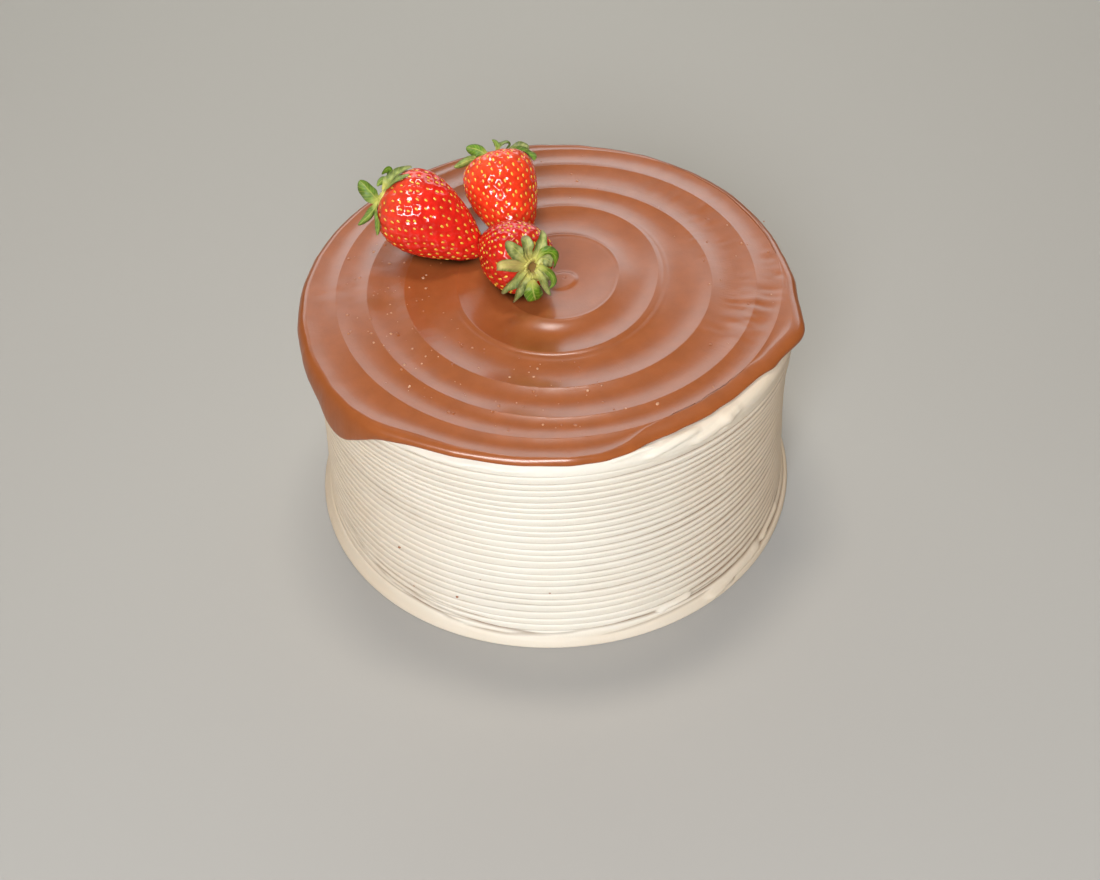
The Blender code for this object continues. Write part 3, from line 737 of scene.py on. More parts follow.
def rim_values(azimuth):
    """Outer radius, lower edge and roll width, on a smooth closed curve through RIM."""
    stops = np.array(RIM, float)
    count = len(stops)
    around = np.concatenate([stops[-3:, 0] - 360.0, stops[:, 0], stops[:3, 0] + 360.0])
    values = np.concatenate([stops[-3:, 1:], stops[:, 1:], stops[:3, 1:]])
    slope = np.gradient(values, around, axis=0)
    spot = (np.asarray(azimuth, float) - stops[0, 0]) % 360.0 + stops[0, 0]
    left = np.clip(np.searchsorted(around, spot, side="right") - 1, 0, count + 4)
    width = (around[left + 1] - around[left])[:, None]
    t = ((spot - around[left]) / width[:, 0])[:, None]
    start = values[left] * (1 + 2 * t) * (1 - t) ** 2 + slope[left] * width * t * (1 - t) ** 2
    end = values[left + 1] * t * t * (3 - 2 * t) + slope[left + 1] * width * t * t * (t - 1)
    return ((start + end) * MM).T


def rim_shape(azimuth):
    """Outer radius, lower edge and roll of the rim, the edge clear of the body's shoulder."""
    radius, low, roll = rim_values(azimuth)
    around = azimuth / 360.0
    waves = patchy(around, 0 * around, 58, 1, seed=51) + 0.7 * patchy(around, 0 * around, 103, 1, seed=52)
    waves = waves * (1.0 - swells(azimuth, RIM_CALM))
    radius = radius + RIM_WAVES * waves
    low = low + 0.6 * RIM_WAVES * np.roll(waves, 5)
    bend_radius = SHOULDER + RIM_REST
    arc_z = BODY_TOP_Z - SHOULDER
    out = radius - RIM_LIP - (body_radius(azimuth, arc_z) - SHOULDER)
    over = arc_z + np.sqrt(np.maximum(bend_radius ** 2 - np.maximum(out, 0.0) ** 2, 0.0))
    return radius, np.where(out < bend_radius, np.maximum(low, over), low), roll


def ring_radius(parts, angle):
    """Mean radius plus first and second waves about the swirl's centre, in metres."""
    mean, cos_1, sin_1, cos_2, sin_2 = parts
    waves = cos_1 * np.cos(angle) + sin_1 * np.sin(angle)
    waves = waves + cos_2 * np.cos(2 * angle) + sin_2 * np.sin(2 * angle)
    return (mean + waves) * MM


def swirl_height(angle, radius, outermost):
    """Height of the swirled top at polar places about its centre.

    Between two crests at share s the height falls by depth sin(pi s), less where they are
    close; inside the first crest it is a shallow dish. A bell of a lip stands on some of the
    crest lines, with a fine notch just inside it. Past the first crest lies a dent, and past
    the second a fine line, each on a part of the way round.
    """
    crests = [ring_radius(parts, angle) for parts in SWIRL_CRESTS] + [outermost]
    inner, outer = np.zeros_like(radius), crests[0] + 0 * radius
    for near, far in zip(crests, crests[1:]):
        past = radius > near
        inner = np.where(past, near, inner)
        outer = np.where(past, far, outer)
    share = np.clip((radius - inner) / np.maximum(outer - inner, 0.1 * MM), 0.0, 1.0)
    around = angle / (2 * math.pi)
    uneven = 1.0 + 0.20 * patchy(around, radius / TOP_REACH, 11, 8, seed=53)
    depth = np.minimum(SWIRL_DEPTH, SWIRL_SLOPE * (outer - inner)) * uneven
    trough = depth * np.sin(math.pi * share)
    dish = DISH_DEPTH * (1 - share ** 2) ** 1.1
    z = SWIRL_CREST_Z - np.where(inner > 0, trough, dish)
    for number, (crest, height) in enumerate(zip(crests, LIP_HEIGHTS_MM)):
        vary = 0.75 + 0.45 * patchy(around, 0 * around, 11, 1, seed=30 + number)
        off = radius - crest
        z = z + height * MM * vary * bell(off / LIP_WIDTH)
        notch = bell((off / LIP_WIDTH + NOTCH_PLACE) / NOTCH_WIDTH)
        z = z - NOTCH_DEPTH * height * MM * notch
    past = (radius - crests[0]) / MM
    start, start_slope = DENT_START_MM
    end, end_slope = DENT_END_MM
    dent = smoothstep((past - start) / start_slope) * smoothstep((end - past) / end_slope)
    z = z - MM * dent * swells(np.degrees(angle), DENT_MM)
    second = (radius - ring_radius(SECOND_LINE, angle)) / LIP_WIDTH
    shown = smoothstep((np.cos(angle - SECOND_LINE_MIDDLE) + 0.35) / 0.5)
    return z + SECOND_LINE_HEIGHT * shown * (bell(second) - bell(second + 1.4))


def drag_marks(angle, radius):
    """Short marks dragged outwards: a lattice that is fine round the cake and long outwards."""
    around = angle / (2 * math.pi)
    out = radius / TOP_REACH
    coarse = patchy(around, out, 150, 13, seed=41)
    fine = patchy(around, out, 240, 22, seed=42)
    where = smoothstep(patchy(around, out, 16, 7, seed=43) + 0.35)
    strength = DRAG_FAINT + swells(np.degrees(angle), DRAG_CHANGES)
    return ((coarse + 0.8 * fine) * where * strength
            * smoothstep((radius - DRAG_FROM) / DRAG_SLOPE))


def tongue(x, y):
    """The lift-off mark by the centre: a flat tongue with a soft root and a steep far edge."""
    turn = math.radians(TONGUE_TURN)
    off_x = x - TONGUE_PLACE[0]
    off_y = y - TONGUE_PLACE[1]
    along = (off_x * math.cos(turn) + off_y * math.sin(turn)) / TONGUE_LENGTH
    across = (-off_x * math.sin(turn) + off_y * math.cos(turn)) / TONGUE_WIDTH
    out = np.hypot(along, across)
    return TONGUE_HEIGHT * smoothstep((1.12 - out) / 0.3) * smoothstep((along + 1.3) / 1.9)


def berry_contact_shade(points):
    """Painted contact shadow: 1 where a berry touches, falling as a bell of the gap under its skin over
    the shadow's reach.
    """
    contact_shade = np.zeros(points.shape[:-1])
    for name in BERRIES:
        reach, along = berry_profile(name, np.linspace(0.001, 3.14, 400))
        axis = np.array(berry_frame(name)[1])
        off = points - np.array(berry_centre(name))
        rise = off @ axis
        aside = np.linalg.norm(off - rise[..., None] * axis, axis=-1)
        skin = np.interp(np.arctan2(aside, rise), np.arctan2(reach, along), np.hypot(reach, along))
        gap = np.maximum(np.hypot(aside, rise) - skin, 0.0)
        contact_shade = np.maximum(contact_shade, bell(gap / CONTACT_SHADE_REACH))
    return contact_shade


def make_chocolate(settings):
    """The chocolate: crest rings and troughs from the centre out, a rolled rim, its underside.

    At bend b of the roll, with p = 1 + flatness, a point lies roll (1 - sin b ** p) inside the
    rim's radius and at cos b ** p of the way up from its bulge. The mark x of a point is how
    close a berry rests, which sets the painted contact shadow there.
    """
    azimuth = np.arange(TOP_COLUMNS) * 360.0 / TOP_COLUMNS
    radius, low, roll = rim_shape(azimuth)
    edge = about_axis(radius, azimuth, 0.0)
    angle = np.arctan2(edge[:, 1] - SWIRL_CENTRE[1], edge[:, 0] - SWIRL_CENTRE[0])
    last_ring = about_axis(radius - roll, azimuth, 0.0)
    outermost = np.hypot(last_ring[:, 0] - SWIRL_CENTRE[0], last_ring[:, 1] - SWIRL_CENTRE[1])
    stops = [0 * angle] + [ring_radius(parts, angle) for parts in SWIRL_CRESTS] + [outermost]
    step = np.linspace(0.0, 1.0, TROUGH_ROWS, endpoint=False)
    shares = 0.3 * step + 0.7 * (0.5 - 0.5 * np.cos(math.pi * step))
    reach = [near + (far - near) * share
             for number, (near, far) in enumerate(zip(stops, stops[1:]))
             for share in (shares if number else np.linspace(0.02, 0.98, DISH_ROWS))]
    reach = np.array(reach + [outermost])
    turned = np.broadcast_to(angle, reach.shape)
    z = swirl_height(turned, reach, outermost)
    edge_fade = smoothstep((outermost - reach) / DRAG_EDGE)
    z = z + settings.drag * drag_marks(turned, reach) * edge_fade
    x = SWIRL_CENTRE[0] + reach * np.cos(turned)
    y = SWIRL_CENTRE[1] + reach * np.sin(turned)
    z = z + tongue(x, y)
    top = np.stack([x, y, z], axis=-1)
    bulge = low + np.minimum(RIM_BULGE, RIM_BULGE_SHARE * (SWIRL_CREST_Z - low))
    bends = np.radians(np.linspace(5, 90, ROLL_ROWS))[:, None]
    power = 1.0 + swells(azimuth, ROLL_FLATNESS)
    roll_radius = radius - roll * (1 - np.sin(bends) ** power)
    roll_z = bulge + (SWIRL_CREST_Z - bulge) * np.cos(bends) ** power
    face = about_axis(roll_radius, azimuth, roll_z)
    tuck = np.radians(np.linspace(15, 90, TUCK_ROWS))[:, None]
    tuck_radius = radius - RIM_LIP - RIM_WALL * 0.5 + (RIM_LIP + RIM_WALL * 0.5) * np.cos(tuck)
    edge_rows = about_axis(tuck_radius, azimuth, bulge - (bulge - low) * np.sin(tuck))
    under = underside(azimuth, radius, low)
    grid = np.concatenate([top, face, edge_rows, under])[::-1][None]
    first = np.array([[0.0, 0.0, BODY_TOP_Z + RIM_REST]])
    last = np.array([[*SWIRL_CENTRE, SWIRL_CREST_Z - DISH_DEPTH]])
    marks = np.zeros(grid.shape)
    # Painted contact shadow: the mark is 1 where a berry rests
    marks[..., 0] = berry_contact_shade(grid)
    return closed_skins("chocolate_swirl", grid, first, last, chocolate_material(settings),
                        pole_marks(marks))


def underside(azimuth, radius, low):
    """Rows from the rim's lower edge inwards over the body's shoulder, just clear of it."""
    bend_radius = SHOULDER + RIM_REST
    arc_z = BODY_TOP_Z - SHOULDER
    start = body_radius(azimuth, arc_z) - SHOULDER
    foot = low + 0.3 * MM
    short = np.maximum(start - (radius - RIM_WALL), 0.0)
    by_reach = np.arcsin(np.clip((radius - RIM_WALL - start) / bend_radius, 0.0, 1.0))
    by_height = np.arccos(np.clip((foot - arc_z) / bend_radius, 0.0, 1.0))
    turn = np.minimum(by_reach, by_height)
    foot = np.where(turn < math.radians(89.5), arc_z + bend_radius * np.cos(turn), foot)
    rows = [about_axis(start + bend_radius * np.sin(turn) - short, azimuth, foot)]
    for share in (0.8, 0.6, 0.4, 0.2, 0.0):
        bend = turn * share
        inwards = short + (1.0 - share) * np.minimum(short, MM)
        rows.append(about_axis(start + bend_radius * np.sin(bend) - inwards, azimuth,
                               arc_z + bend_radius * np.cos(bend)))
    for share in (0.85, 0.6, 0.3):
        rows.append(about_axis(start * share, azimuth, BODY_TOP_Z + RIM_REST))
    return np.array(rows)


def make_specks(settings):
    """Tiny pimples half sunk in the chocolate, thickest at the left and the front."""
    random = np.random.default_rng(5)
    count = settings.specks
    turns = np.where(random.random(count) < 0.65, random.uniform(-200, -80, count),
                     random.uniform(-180, 180, count))
    angle = np.radians(turns)
    radius = SPECK_REACH * np.sqrt(random.uniform(0.30, 1.0, count))
    height = swirl_height(angle, radius, np.full(count, SPECK_OUTERMOST))
    size = (SPECK_RADIUS_MM + SPECK_SPREAD_MM * random.random(count) ** 2) * MM
    centres = np.stack([SWIRL_CENTRE[0] + radius * np.cos(angle),
                        SWIRL_CENTRE[1] + radius * np.sin(angle), height], axis=-1)
    return small_lumps("chocolate_specks", centres, size, 0.62, random, speck_material(settings))


def ball_angles(rows, columns):
    """The rows' polar angles, from pi to 0 without the poles, and the columns' turns."""
    bends = np.linspace(math.pi, 0, rows + 2)[1:-1][:, None]
    return bends, np.linspace(0, 2 * math.pi, columns, endpoint=False)[None]


def small_lumps(name, centres, size, flatten, random, surface):
    """Joined uneven balls at the centres: radius size (1 + 0.14 noise), pressed flat in z."""
    bends, around = ball_angles(LUMP_ROWS, LUMP_COLUMNS)
    ball = np.stack(np.broadcast_arrays(np.sin(bends) * np.cos(around),
                                        np.sin(bends) * np.sin(around),
                                        np.cos(bends)), axis=-1)
    noise = random.standard_normal((len(centres), LUMP_ROWS, LUMP_COLUMNS, 1))
    swell = 1.0 + LUMP_UNEVENNESS * noise
    grids = ball[None] * swell * size[:, None, None, None] * np.array([1.0, 1.0, flatten])
    grids = grids + centres[:, None, None]
    drop = np.stack([0 * size, 0 * size, flatten * size], axis=-1)
    return closed_skins(name, grids, centres - drop, centres + drop, surface)


# Strawberries

def berry_frame(name):
    """Centre, axis towards the leaves, and two directions across it, the second upwards."""
    centre, azimuth, elevation = BERRIES[name][:3]
    flat = math.cos(math.radians(elevation))
    turn = math.radians(azimuth)
    axis = Vector((flat * math.cos(turn), flat * math.sin(turn), math.sin(math.radians(elevation))))
    across = Vector((0, 0, 1)).cross(axis).normalized()
    return Vector(centre) * MM, axis, across, axis.cross(across)


def berry_profile(name, bend):
    """Radius and place along the axis at a polar angle from the leaf end, in metres."""
    length, radius, widen, blunt = BERRIES[name][3:]
    table = np.linspace(0.0, math.pi, 181)
    widest = (np.sin(table) ** blunt * (1 + widen * np.cos(table))).max()
    across = radius * MM * np.sin(bend) ** blunt * (1 + widen * np.cos(bend)) / widest
    dimple = BERRY_DIMPLE * np.exp(-((across / (4.0 * MM)) ** 2)) * (bend < 1.0)
    return across, length * MM / 2 * np.cos(bend) - dimple


def berry_points(name, bend, around, centre):
    """Points of the smooth berry: an egg about its axis with three faint lobes."""
    axis, across, upward = (np.array(item) for item in berry_frame(name)[1:])
    reach, along = berry_profile(name, bend)
    swell = reach * (1 + BERRY_LOBES * np.sin(3 * around + 2 * bend))
    side = np.cos(around)[..., None] * across + np.sin(around)[..., None] * upward
    return np.array(centre) + along[..., None] * axis + swell[..., None] * side


def berry_centre(name):
    """Centre of the berry as it rests on the chocolate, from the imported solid's box."""
    centre = berry_frame(name)[0]
    bends = np.linspace(0.001, math.pi - 0.001, 60)[:, None]
    around = np.linspace(0, 2 * math.pi, 72)[None]
    heights = berry_points(name, bends + 0 * around, around + 0 * bends, centre)[..., 2]
    low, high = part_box("strawberry_" + name)
    centre.z += (low.z + high.z - heights.min() - heights.max()) / 2
    return centre


def seed_places(name):
    """Polar angle and turn of each seed: golden turns at even steps of skin area.

    The steps close up a little towards the tip, as they do on the fruit.
    """
    bends = np.linspace(0.0, math.pi, 400)
    reach, along = berry_profile(name, bends)
    ring = np.hypot(np.gradient(reach), np.gradient(along)) * reach * (1 + 0.5 * bends / math.pi)
    area = np.cumsum(ring)
    count = SEED_COUNTS[name]
    share = (np.arange(count) + 0.5) / count
    random = np.random.default_rng(len(name) + 70)
    bend = np.interp(share, area / area[-1], bends) + random.normal(0, 0.018, count)
    turn = np.arange(count) * GOLDEN_TURN + random.normal(0, 0.03, count) / np.sin(bend)
    return np.clip(bend, 0.05, math.pi - 0.05), turn


def make_berry(name, settings, surface):
    """One strawberry skin: the egg, puffed between its seeds and pressed in at each of them.

    At distance d from the nearest seed the skin sinks by depth exp(-(d / width) ** 2). The
    mark x of a point is its place from leaves 0 to tip 1, and y how deep it is pressed.
    """
    centre = berry_centre(name)
    bends = math.pi * (1.0 - (np.arange(BERRY_ROWS) + 0.5) / BERRY_ROWS)
    around = np.arange(BERRY_COLUMNS) * 2 * math.pi / BERRY_COLUMNS
    bend_grid, turn_grid = np.meshgrid(bends, around, indexing="ij")
    grid = berry_points(name, bend_grid, turn_grid, centre)
    normals = skin_normals(grid)
    seeds = berry_points(name, *seed_places(name), centre)
    flat = grid.reshape(-1, 3)
    square = (flat ** 2).sum(1)[:, None] + (seeds ** 2).sum(1)[None] - 2 * flat @ seeds.T
    near = np.sqrt(np.maximum(square.min(axis=1), 0.0)).reshape(bend_grid.shape)
    bare = smoothstep((bend_grid - 0.30) / 0.25)
    press = settings.dimple_depth * bell(near / DIMPLE_WIDTH) * bare
    puff = PUFF_HEIGHT * smoothstep((near - PUFF_FROM) / PUFF_SLOPE)
    turns = turn_grid / (2 * math.pi)
    lump = patchy(turns, bend_grid / math.pi, 7, 6, seed=61) * np.sin(bend_grid)
    grid = grid + normals * (puff - press + BERRY_LUMPS * lump)[..., None]
    marks = np.stack([bend_grid / math.pi, press / settings.dimple_depth, 0 * lump], axis=-1)
    ends = berry_points(name, np.array([math.pi, 0.0]), np.array([0.0, 0.0]), centre)
    skin = closed_skins("berry_skin_" + name, grid[None], ends[:1], ends[1:], surface,
                        pole_marks(marks[None]))
    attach(skin, "root")
    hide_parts("strawberry_" + name)


def make_seeds(name, settings, surface):
    """The seeds of one berry: teardrops lying in their dimples, points towards the tip.

    At angle w along a seed of half length h, its half width is h times width sin w
    (1 - taper cos w).
    """
    centre = berry_centre(name)
    bend, turn = seed_places(name)
    keep = bend > SEED_FROM
    bend, turn = bend[keep], turn[keep]
    count = len(bend)
    place = berry_points(name, bend, turn, centre)
    tip_way = berry_points(name, bend + 0.01, turn, centre) - place
    side_way = berry_points(name, bend, turn + 0.01, centre) - place
    tip_way /= np.linalg.norm(tip_way, axis=1, keepdims=True)
    side_way /= np.linalg.norm(side_way, axis=1, keepdims=True)
    outward = np.cross(tip_way, side_way)
    outward *= np.sign(np.einsum("ij,ij->i", outward, place - np.array(centre)))[:, None]
    random = np.random.default_rng(len(name) + 90)
    skew = random.normal(0, 0.22, count)[:, None]
    long_way = tip_way * np.cos(skew) + side_way * np.sin(skew)
    wide_way = np.cross(outward, long_way)
    scale = random.uniform(0.84, 1.12, count)[:, None, None]
    place = place - outward * (settings.dimple_depth - SEED_RISE)
    w, around = ball_angles(SEED_ROWS, SEED_COLUMNS)
    half = settings.seed_length / 2
    along = half * np.cos(w) + 0 * around
    wide = SEED_WIDTH * half * np.sin(w) * (1 - SEED_TAPER * np.cos(w))
    thick = SEED_FLATNESS * wide
    grids = (place[:, None, None]
             + (along * scale)[..., None] * long_way[:, None, None]
             + (wide * np.cos(around) * scale)[..., None] * wide_way[:, None, None]
             + (thick * np.sin(around) * scale)[..., None] * outward[:, None, None])
    tip = half * scale[:, 0] * long_way
    made = closed_skins("seeds_" + name, flip_rings(grids), place - tip, place + tip, surface)
    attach(made, "root")


def flip_rings(grids):
    """The same grids with each row run the other way, where a skin is inside out."""
    middle = grids[0, grids.shape[1] // 2]
    axis = grids[0, -1].mean(axis=0) - grids[0, 0].mean(axis=0)
    spoke = middle - middle.mean(axis=0)
    turn = np.cross(spoke, np.roll(spoke, -1, axis=0)).sum(axis=0)
    return grids if turn @ axis > 0 else grids[:, :, ::-1]


def skin_clearance(name):
    """Reach and rise of the berry's skin round its crown, with the gap that leaves keep."""
    bends = np.linspace(0.0, 2.2, 160)
    reach, along = berry_profile(name, bends)
    reach = reach * (1 + BERRY_LOBES)
    return reach, along + SEPAL_CLEAR - BERRIES[name][3] * MM / 2


def clear_of_berry(name, places):
    """Places, from the berry's centre, moved straight out where they would sink into it."""
    reach, along = berry_profile(name, np.linspace(0.001, 3.1, 400))
    distance = np.hypot(reach * (1 + BERRY_LOBES), along) + SEPAL_CLEAR + SEPAL_THICKNESS / 2
    bends = np.arctan2(reach, along)
    from_centre = np.linalg.norm(places, axis=-1)
    turned = np.arctan2(np.hypot(places[..., 0], places[..., 1]), places[..., 2])
    need = np.interp(turned, bends, distance)
    return places * np.maximum(need / from_centre, 1.0)[..., None]


def sepal_skin(name, number, row):
    """One sepal as a closed thin blade along the cubic through its root, bends and tip.

    At u along it the half width is w (0.45 + 0.55 S(u / 0.45)) (1 - u ** blunt) ** 0.7. Across
    it, at v from -1 to 1, a point stands v half widths to the side and 0.8 cup (v ** 2 - 0.3)
    half widths off the line, with a ruffle towards the edges and a crease at the middle. The
    marks of a point are u, v and the sepal's tone.
    """
    *stops, width, blunt, tilt, twist, cup, tone = row
    stops = np.array(stops) * MM
    u = np.linspace(0.0, 0.985, SEPAL_ROWS)[:, None]
    third, two = u - 1 / 3, u - 2 / 3
    line = (-4.5 * third * two * (u - 1) * stops[0] + 13.5 * u * two * (u - 1) * stops[1]
            - 13.5 * u * third * (u - 1) * stops[2] + 4.5 * u * third * two * stops[3])
    slope = np.gradient(line, axis=0)
    slope /= np.linalg.norm(slope, axis=1, keepdims=True)
    side = np.cross((0.0, 0.0, 1.0), stops[3] - stops[0])
    side = side - slope * (slope @ side)[:, None]
    side /= np.linalg.norm(side, axis=1, keepdims=True)
    lift = np.cross(slope, side)
    roll = np.radians(tilt + twist * u)
    side, lift = (np.cos(roll) * side + np.sin(roll) * lift,
                  np.cos(roll) * lift - np.sin(roll) * side)
    half = width / 2 * MM * (0.45 + 0.55 * smoothstep(u / 0.45)) * (1 - u ** blunt) ** 0.7
    turns = np.linspace(0, 2 * math.pi, SEPAL_COLUMNS, endpoint=False)[None]
    v = -np.cos(turns) + 0 * u
    ruffle = 0.16 * np.sin(10 * u + 2.1 * number) * v ** 2 + 0.08 * np.sin(17 * u + number) * v
    crease = -0.18 * MM * bell(v / 0.13) * (1 - u)
    flex = (cup * 0.8 * (v ** 2 - 0.3) + ruffle * smoothstep(u / 0.4)) * half + crease
    middle = line[:, None] + (half * v)[..., None] * side[:, None] + flex[..., None] * lift[:, None]
    from_crown = np.array([0.0, 0.0, BERRIES[name][3] * MM / 2])
    middle = clear_of_berry(name, middle + from_crown)
    thick = SEPAL_THICKNESS / 2 * np.sin(turns) * (1.15 - 0.5 * u)
    places = middle + thick[..., None] * lift[:, None]
    _, axis, across, upward = (np.array(item) for item in berry_frame(name))
    grid = np.array(berry_centre(name)) + places @ np.array([across, upward, axis])
    marks = np.stack([u + 0 * v, v, tone + 0 * v], axis=-1)
    return grid, marks


def make_sepals(name, surface):
    """All sepals of one berry in one object, each a closed blade."""
    skins, marks = zip(*(sepal_skin(name, number, row)
                         for number, row in enumerate(SEPALS[name])))
    grids = np.stack([flip_rings(skin[None])[0] for skin in skins])
    marks = np.stack(marks)
    first = grids[:, 0].mean(axis=1)
    last = grids[:, -1].mean(axis=1)
    made = closed_skins("sepals_" + name, grids, first, last, surface, pole_marks(marks))
    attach(made, "root")
    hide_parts("leaves_" + name)


def make_crown(name, surface):
    """The crown where the sepals meet: a low lumpy dome round a brown hollow.

    At share s of its radius the height is crown height (1 - s ** 2.6), less a bell at the
    centre, with ribs that run out to the sepals. It reaches further to one side.
    """
    centre, axis, across, upward = (np.array(item) for item in berry_frame(name))
    centre = np.array(berry_centre(name)) + axis * BERRIES[name][3] * MM / 2
    share = np.linspace(0.06, 1.0, CROWN_ROWS)[:, None]
    turns = np.linspace(0, 2 * math.pi, CROWN_COLUMNS, endpoint=False)[None]
    ribs = CROWN_RIBS * np.sin(2 * len(SEPALS[name]) * turns + 1.0) * share * (1 - share) * 4
    top = CROWN_HEIGHT * (1 - share ** 2.6) - CROWN_HOLLOW * bell(share / 0.40) + ribs
    skin_reach, skin_rise = skin_clearance(name)
    lean = 0.25 * np.cos(turns + CROWN_LEAN_TURN) * share
    reach = share * CROWN_RADIUS * (1 + 0.08 * np.sin(5 * turns) * share + lean)
    rest = np.interp(reach, skin_reach, skin_rise) - CROWN_SUNK
    rise = np.concatenate([rest - CROWN_WALL, (rest + np.maximum(top, CROWN_LEAST))[::-1]])
    reach = np.concatenate([reach, reach[::-1]])
    side = np.cos(turns)[..., None] * across + np.sin(turns)[..., None] * upward
    grid = centre + rise[..., None] * axis + reach[..., None] * side
    first = centre + axis * rise[0].mean()
    last = centre + axis * rise[-1].mean()
    marks = np.stack(np.broadcast_arrays(CROWN_MARK, reach / CROWN_RADIUS, 0.5), axis=-1)
    made = closed_skins("crown_" + name, grid[None], first[None], last[None], surface,
                        pole_marks(marks[None]))
    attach(made, "root")


def make_crumbs(settings):
    """A few crumbs pressed into the cream's side."""
    random = np.random.default_rng(8)
    azimuth, height, size = np.array(CRUMBS).T
    z = height * MM
    radius = body_radius(azimuth, z) + cream_relief(azimuth, z, settings) - CRUMB_SUNK
    centres = about_axis(radius, azimuth, z)
    return small_lumps("cake_crumbs", centres, size * MM, 0.5, random, crumb_material())


# Finishes

class Tree:
    """Short ways to add and join the nodes of one shader tree."""

    def __init__(self, tree):
        self.tree = tree

    def add(self, kind, inputs=(), **values):
        """A node of this kind with its fields set and its inputs set or joined."""
        node = self.tree.nodes.new(kind)
        for field, value in values.items():
            setattr(node, field, value)
        for key, value in dict(inputs).items():
            if isinstance(value, bpy.types.NodeSocket):
                self.tree.links.new(value, node.inputs[key])
            else:
                node.inputs[key].default_value = value
        return node

    def maths(self, operation, first, second=0.0, clamp=False):
        """Two values joined by one operation."""
        return self.add("ShaderNodeMath", {0: first, 1: second}, operation=operation,
                        use_clamp=clamp).outputs[0]

    def noise(self, place, scale, detail=3.0, rough=0.55):
        """Noise from 0 to 1 in metres of the object."""
        return self.add("ShaderNodeTexNoise", {"Vector": place, "Scale": scale, "Detail": detail,
                                               "Roughness": rough}).outputs["Fac"]

    def span(self, value, low, high, to_low=0.0, to_high=1.0):
        """The value carried from one range to another, held at its ends."""
        return self.add("ShaderNodeMapRange", {"Value": value, "From Min": low, "From Max": high,
                                               "To Min": to_low, "To Max": to_high}).outputs[0]

    def blend(self, share, first, second):
        """Two colours mixed by a share."""
        return self.add("ShaderNodeMix", {0: share, 6: first, 7: second},
                        data_type="RGBA").outputs[2]

    def axes(self, vector):
        """The three parts of a vector."""
        return self.add("ShaderNodeSeparateXYZ", {0: vector}).outputs


class Finish(Tree):
    """One material: its shader, its Object coordinates and the groups that finishes share."""

    def __init__(self, name):
        self.material = bpy.data.materials.new(name)
        self.material.use_nodes = True
        super().__init__(self.material.node_tree)
        self.shader = self.tree.nodes["Principled BSDF"]
        self.place = self.add("ShaderNodeTexCoord").outputs["Object"]

    def marks(self):
        """The three parts of the piece's own attribute "marks"."""
        return self.axes(self.add("ShaderNodeAttribute", attribute_name="marks").outputs["Vector"])

    def mottle(self, first, second, scale, detail=3.0, rough=0.55, low=0.0, high=1.0):
        """The mottle group's colour and noise."""
        group = self.add("ShaderNodeGroup", node_tree=mottle_group())
        self.fill(group, Place=self.place, First=first, Second=second, Scale=scale,
                  Detail=detail, Rough=rough, Low=low, High=high)
        return group.outputs["Colour"], group.outputs["Noise"]

    def grain(self, fine, fine_detail, fine_share, coarse, coarse_share):
        """The grain group's height, fine noise and coarse noise."""
        group = self.add("ShaderNodeGroup", node_tree=grain_group())
        self.fill(group, Place=self.place, Fine_Scale=fine, Fine_Detail=fine_detail,
                  Fine_Share=fine_share, Coarse_Scale=coarse, Coarse_Share=coarse_share)
        return group.outputs

    def fill(self, node, **sources):
        """Set or join a node's inputs by name, spaces written as _."""
        for key, value in sources.items():
            socket = node.inputs[key.replace("_", " ")]
            if isinstance(value, bpy.types.NodeSocket):
                self.tree.links.new(value, socket)
            else:
                socket.default_value = value

    def bump(self, height, distance, strength):
        """A normal bent by a height."""
        return self.add("ShaderNodeBump", {"Height": height, "Distance": distance,
                                           "Strength": strength}).outputs["Normal"]

    def finish(self, **sources):
        """Set or join the shader's own inputs, and give the material."""
        self.fill(self.shader, **sources)
        return self.material


def shared_group(name, inputs, outputs):
    """A new shader group with named sockets, its nodes, its given inputs and its results."""
    tree = bpy.data.node_groups.new(name, "ShaderNodeTree")
    for label, kind in inputs:
        tree.interface.new_socket(label, in_out="INPUT", socket_type="NodeSocket" + kind)
    for label, kind in outputs:
        tree.interface.new_socket(label, in_out="OUTPUT", socket_type="NodeSocket" + kind)
    nodes = Tree(tree)
    return nodes, nodes.add("NodeGroupInput").outputs, nodes.add("NodeGroupOutput").inputs


def mottle_group():
    """Two colours mixed by noise, all First where it is Low and all Second where it is High."""
    if "mottle" in bpy.data.node_groups:
        return bpy.data.node_groups["mottle"]
    inputs = (("Place", "Vector"), ("First", "Color"), ("Second", "Color"), ("Scale", "Float"),
              ("Detail", "Float"), ("Rough", "Float"), ("Low", "Float"), ("High", "Float"))
    n, given, result = shared_group("mottle", inputs, (("Colour", "Color"), ("Noise", "Float")))
    noise = n.noise(given["Place"], given["Scale"], given["Detail"], given["Rough"])
    share = n.span(noise, given["Low"], given["High"])
    n.tree.links.new(n.blend(share, given["First"], given["Second"]), result["Colour"])
    n.tree.links.new(noise, result["Noise"])
    return n.tree


def grain_group():
    """Fine and coarse noise, and the height that they add up to, each times its share."""
    if "grain" in bpy.data.node_groups:
        return bpy.data.node_groups["grain"]
    inputs = (("Place", "Vector"), ("Fine Scale", "Float"), ("Fine Detail", "Float"),
              ("Fine Share", "Float"), ("Coarse Scale", "Float"), ("Coarse Share", "Float"))
    outputs = (("Height", "Float"), ("Fine", "Float"), ("Coarse", "Float"))
    n, given, result = shared_group("grain", inputs, outputs)
    fine = n.noise(given["Place"], given["Fine Scale"], given["Fine Detail"])
    coarse = n.noise(given["Place"], given["Coarse Scale"], 2.0)
    height = n.maths("ADD", n.maths("MULTIPLY", fine, given["Fine Share"]),
                     n.maths("MULTIPLY", coarse, given["Coarse Share"]))
    for label, value in (("Height", height), ("Fine", fine), ("Coarse", coarse)):
        n.tree.links.new(value, result[label])
    return n.tree


def shade(colour, factor):
    """A colour made lighter or darker, with its alpha."""
    return (*(min(1.0, part * factor) for part in colour), 1.0)


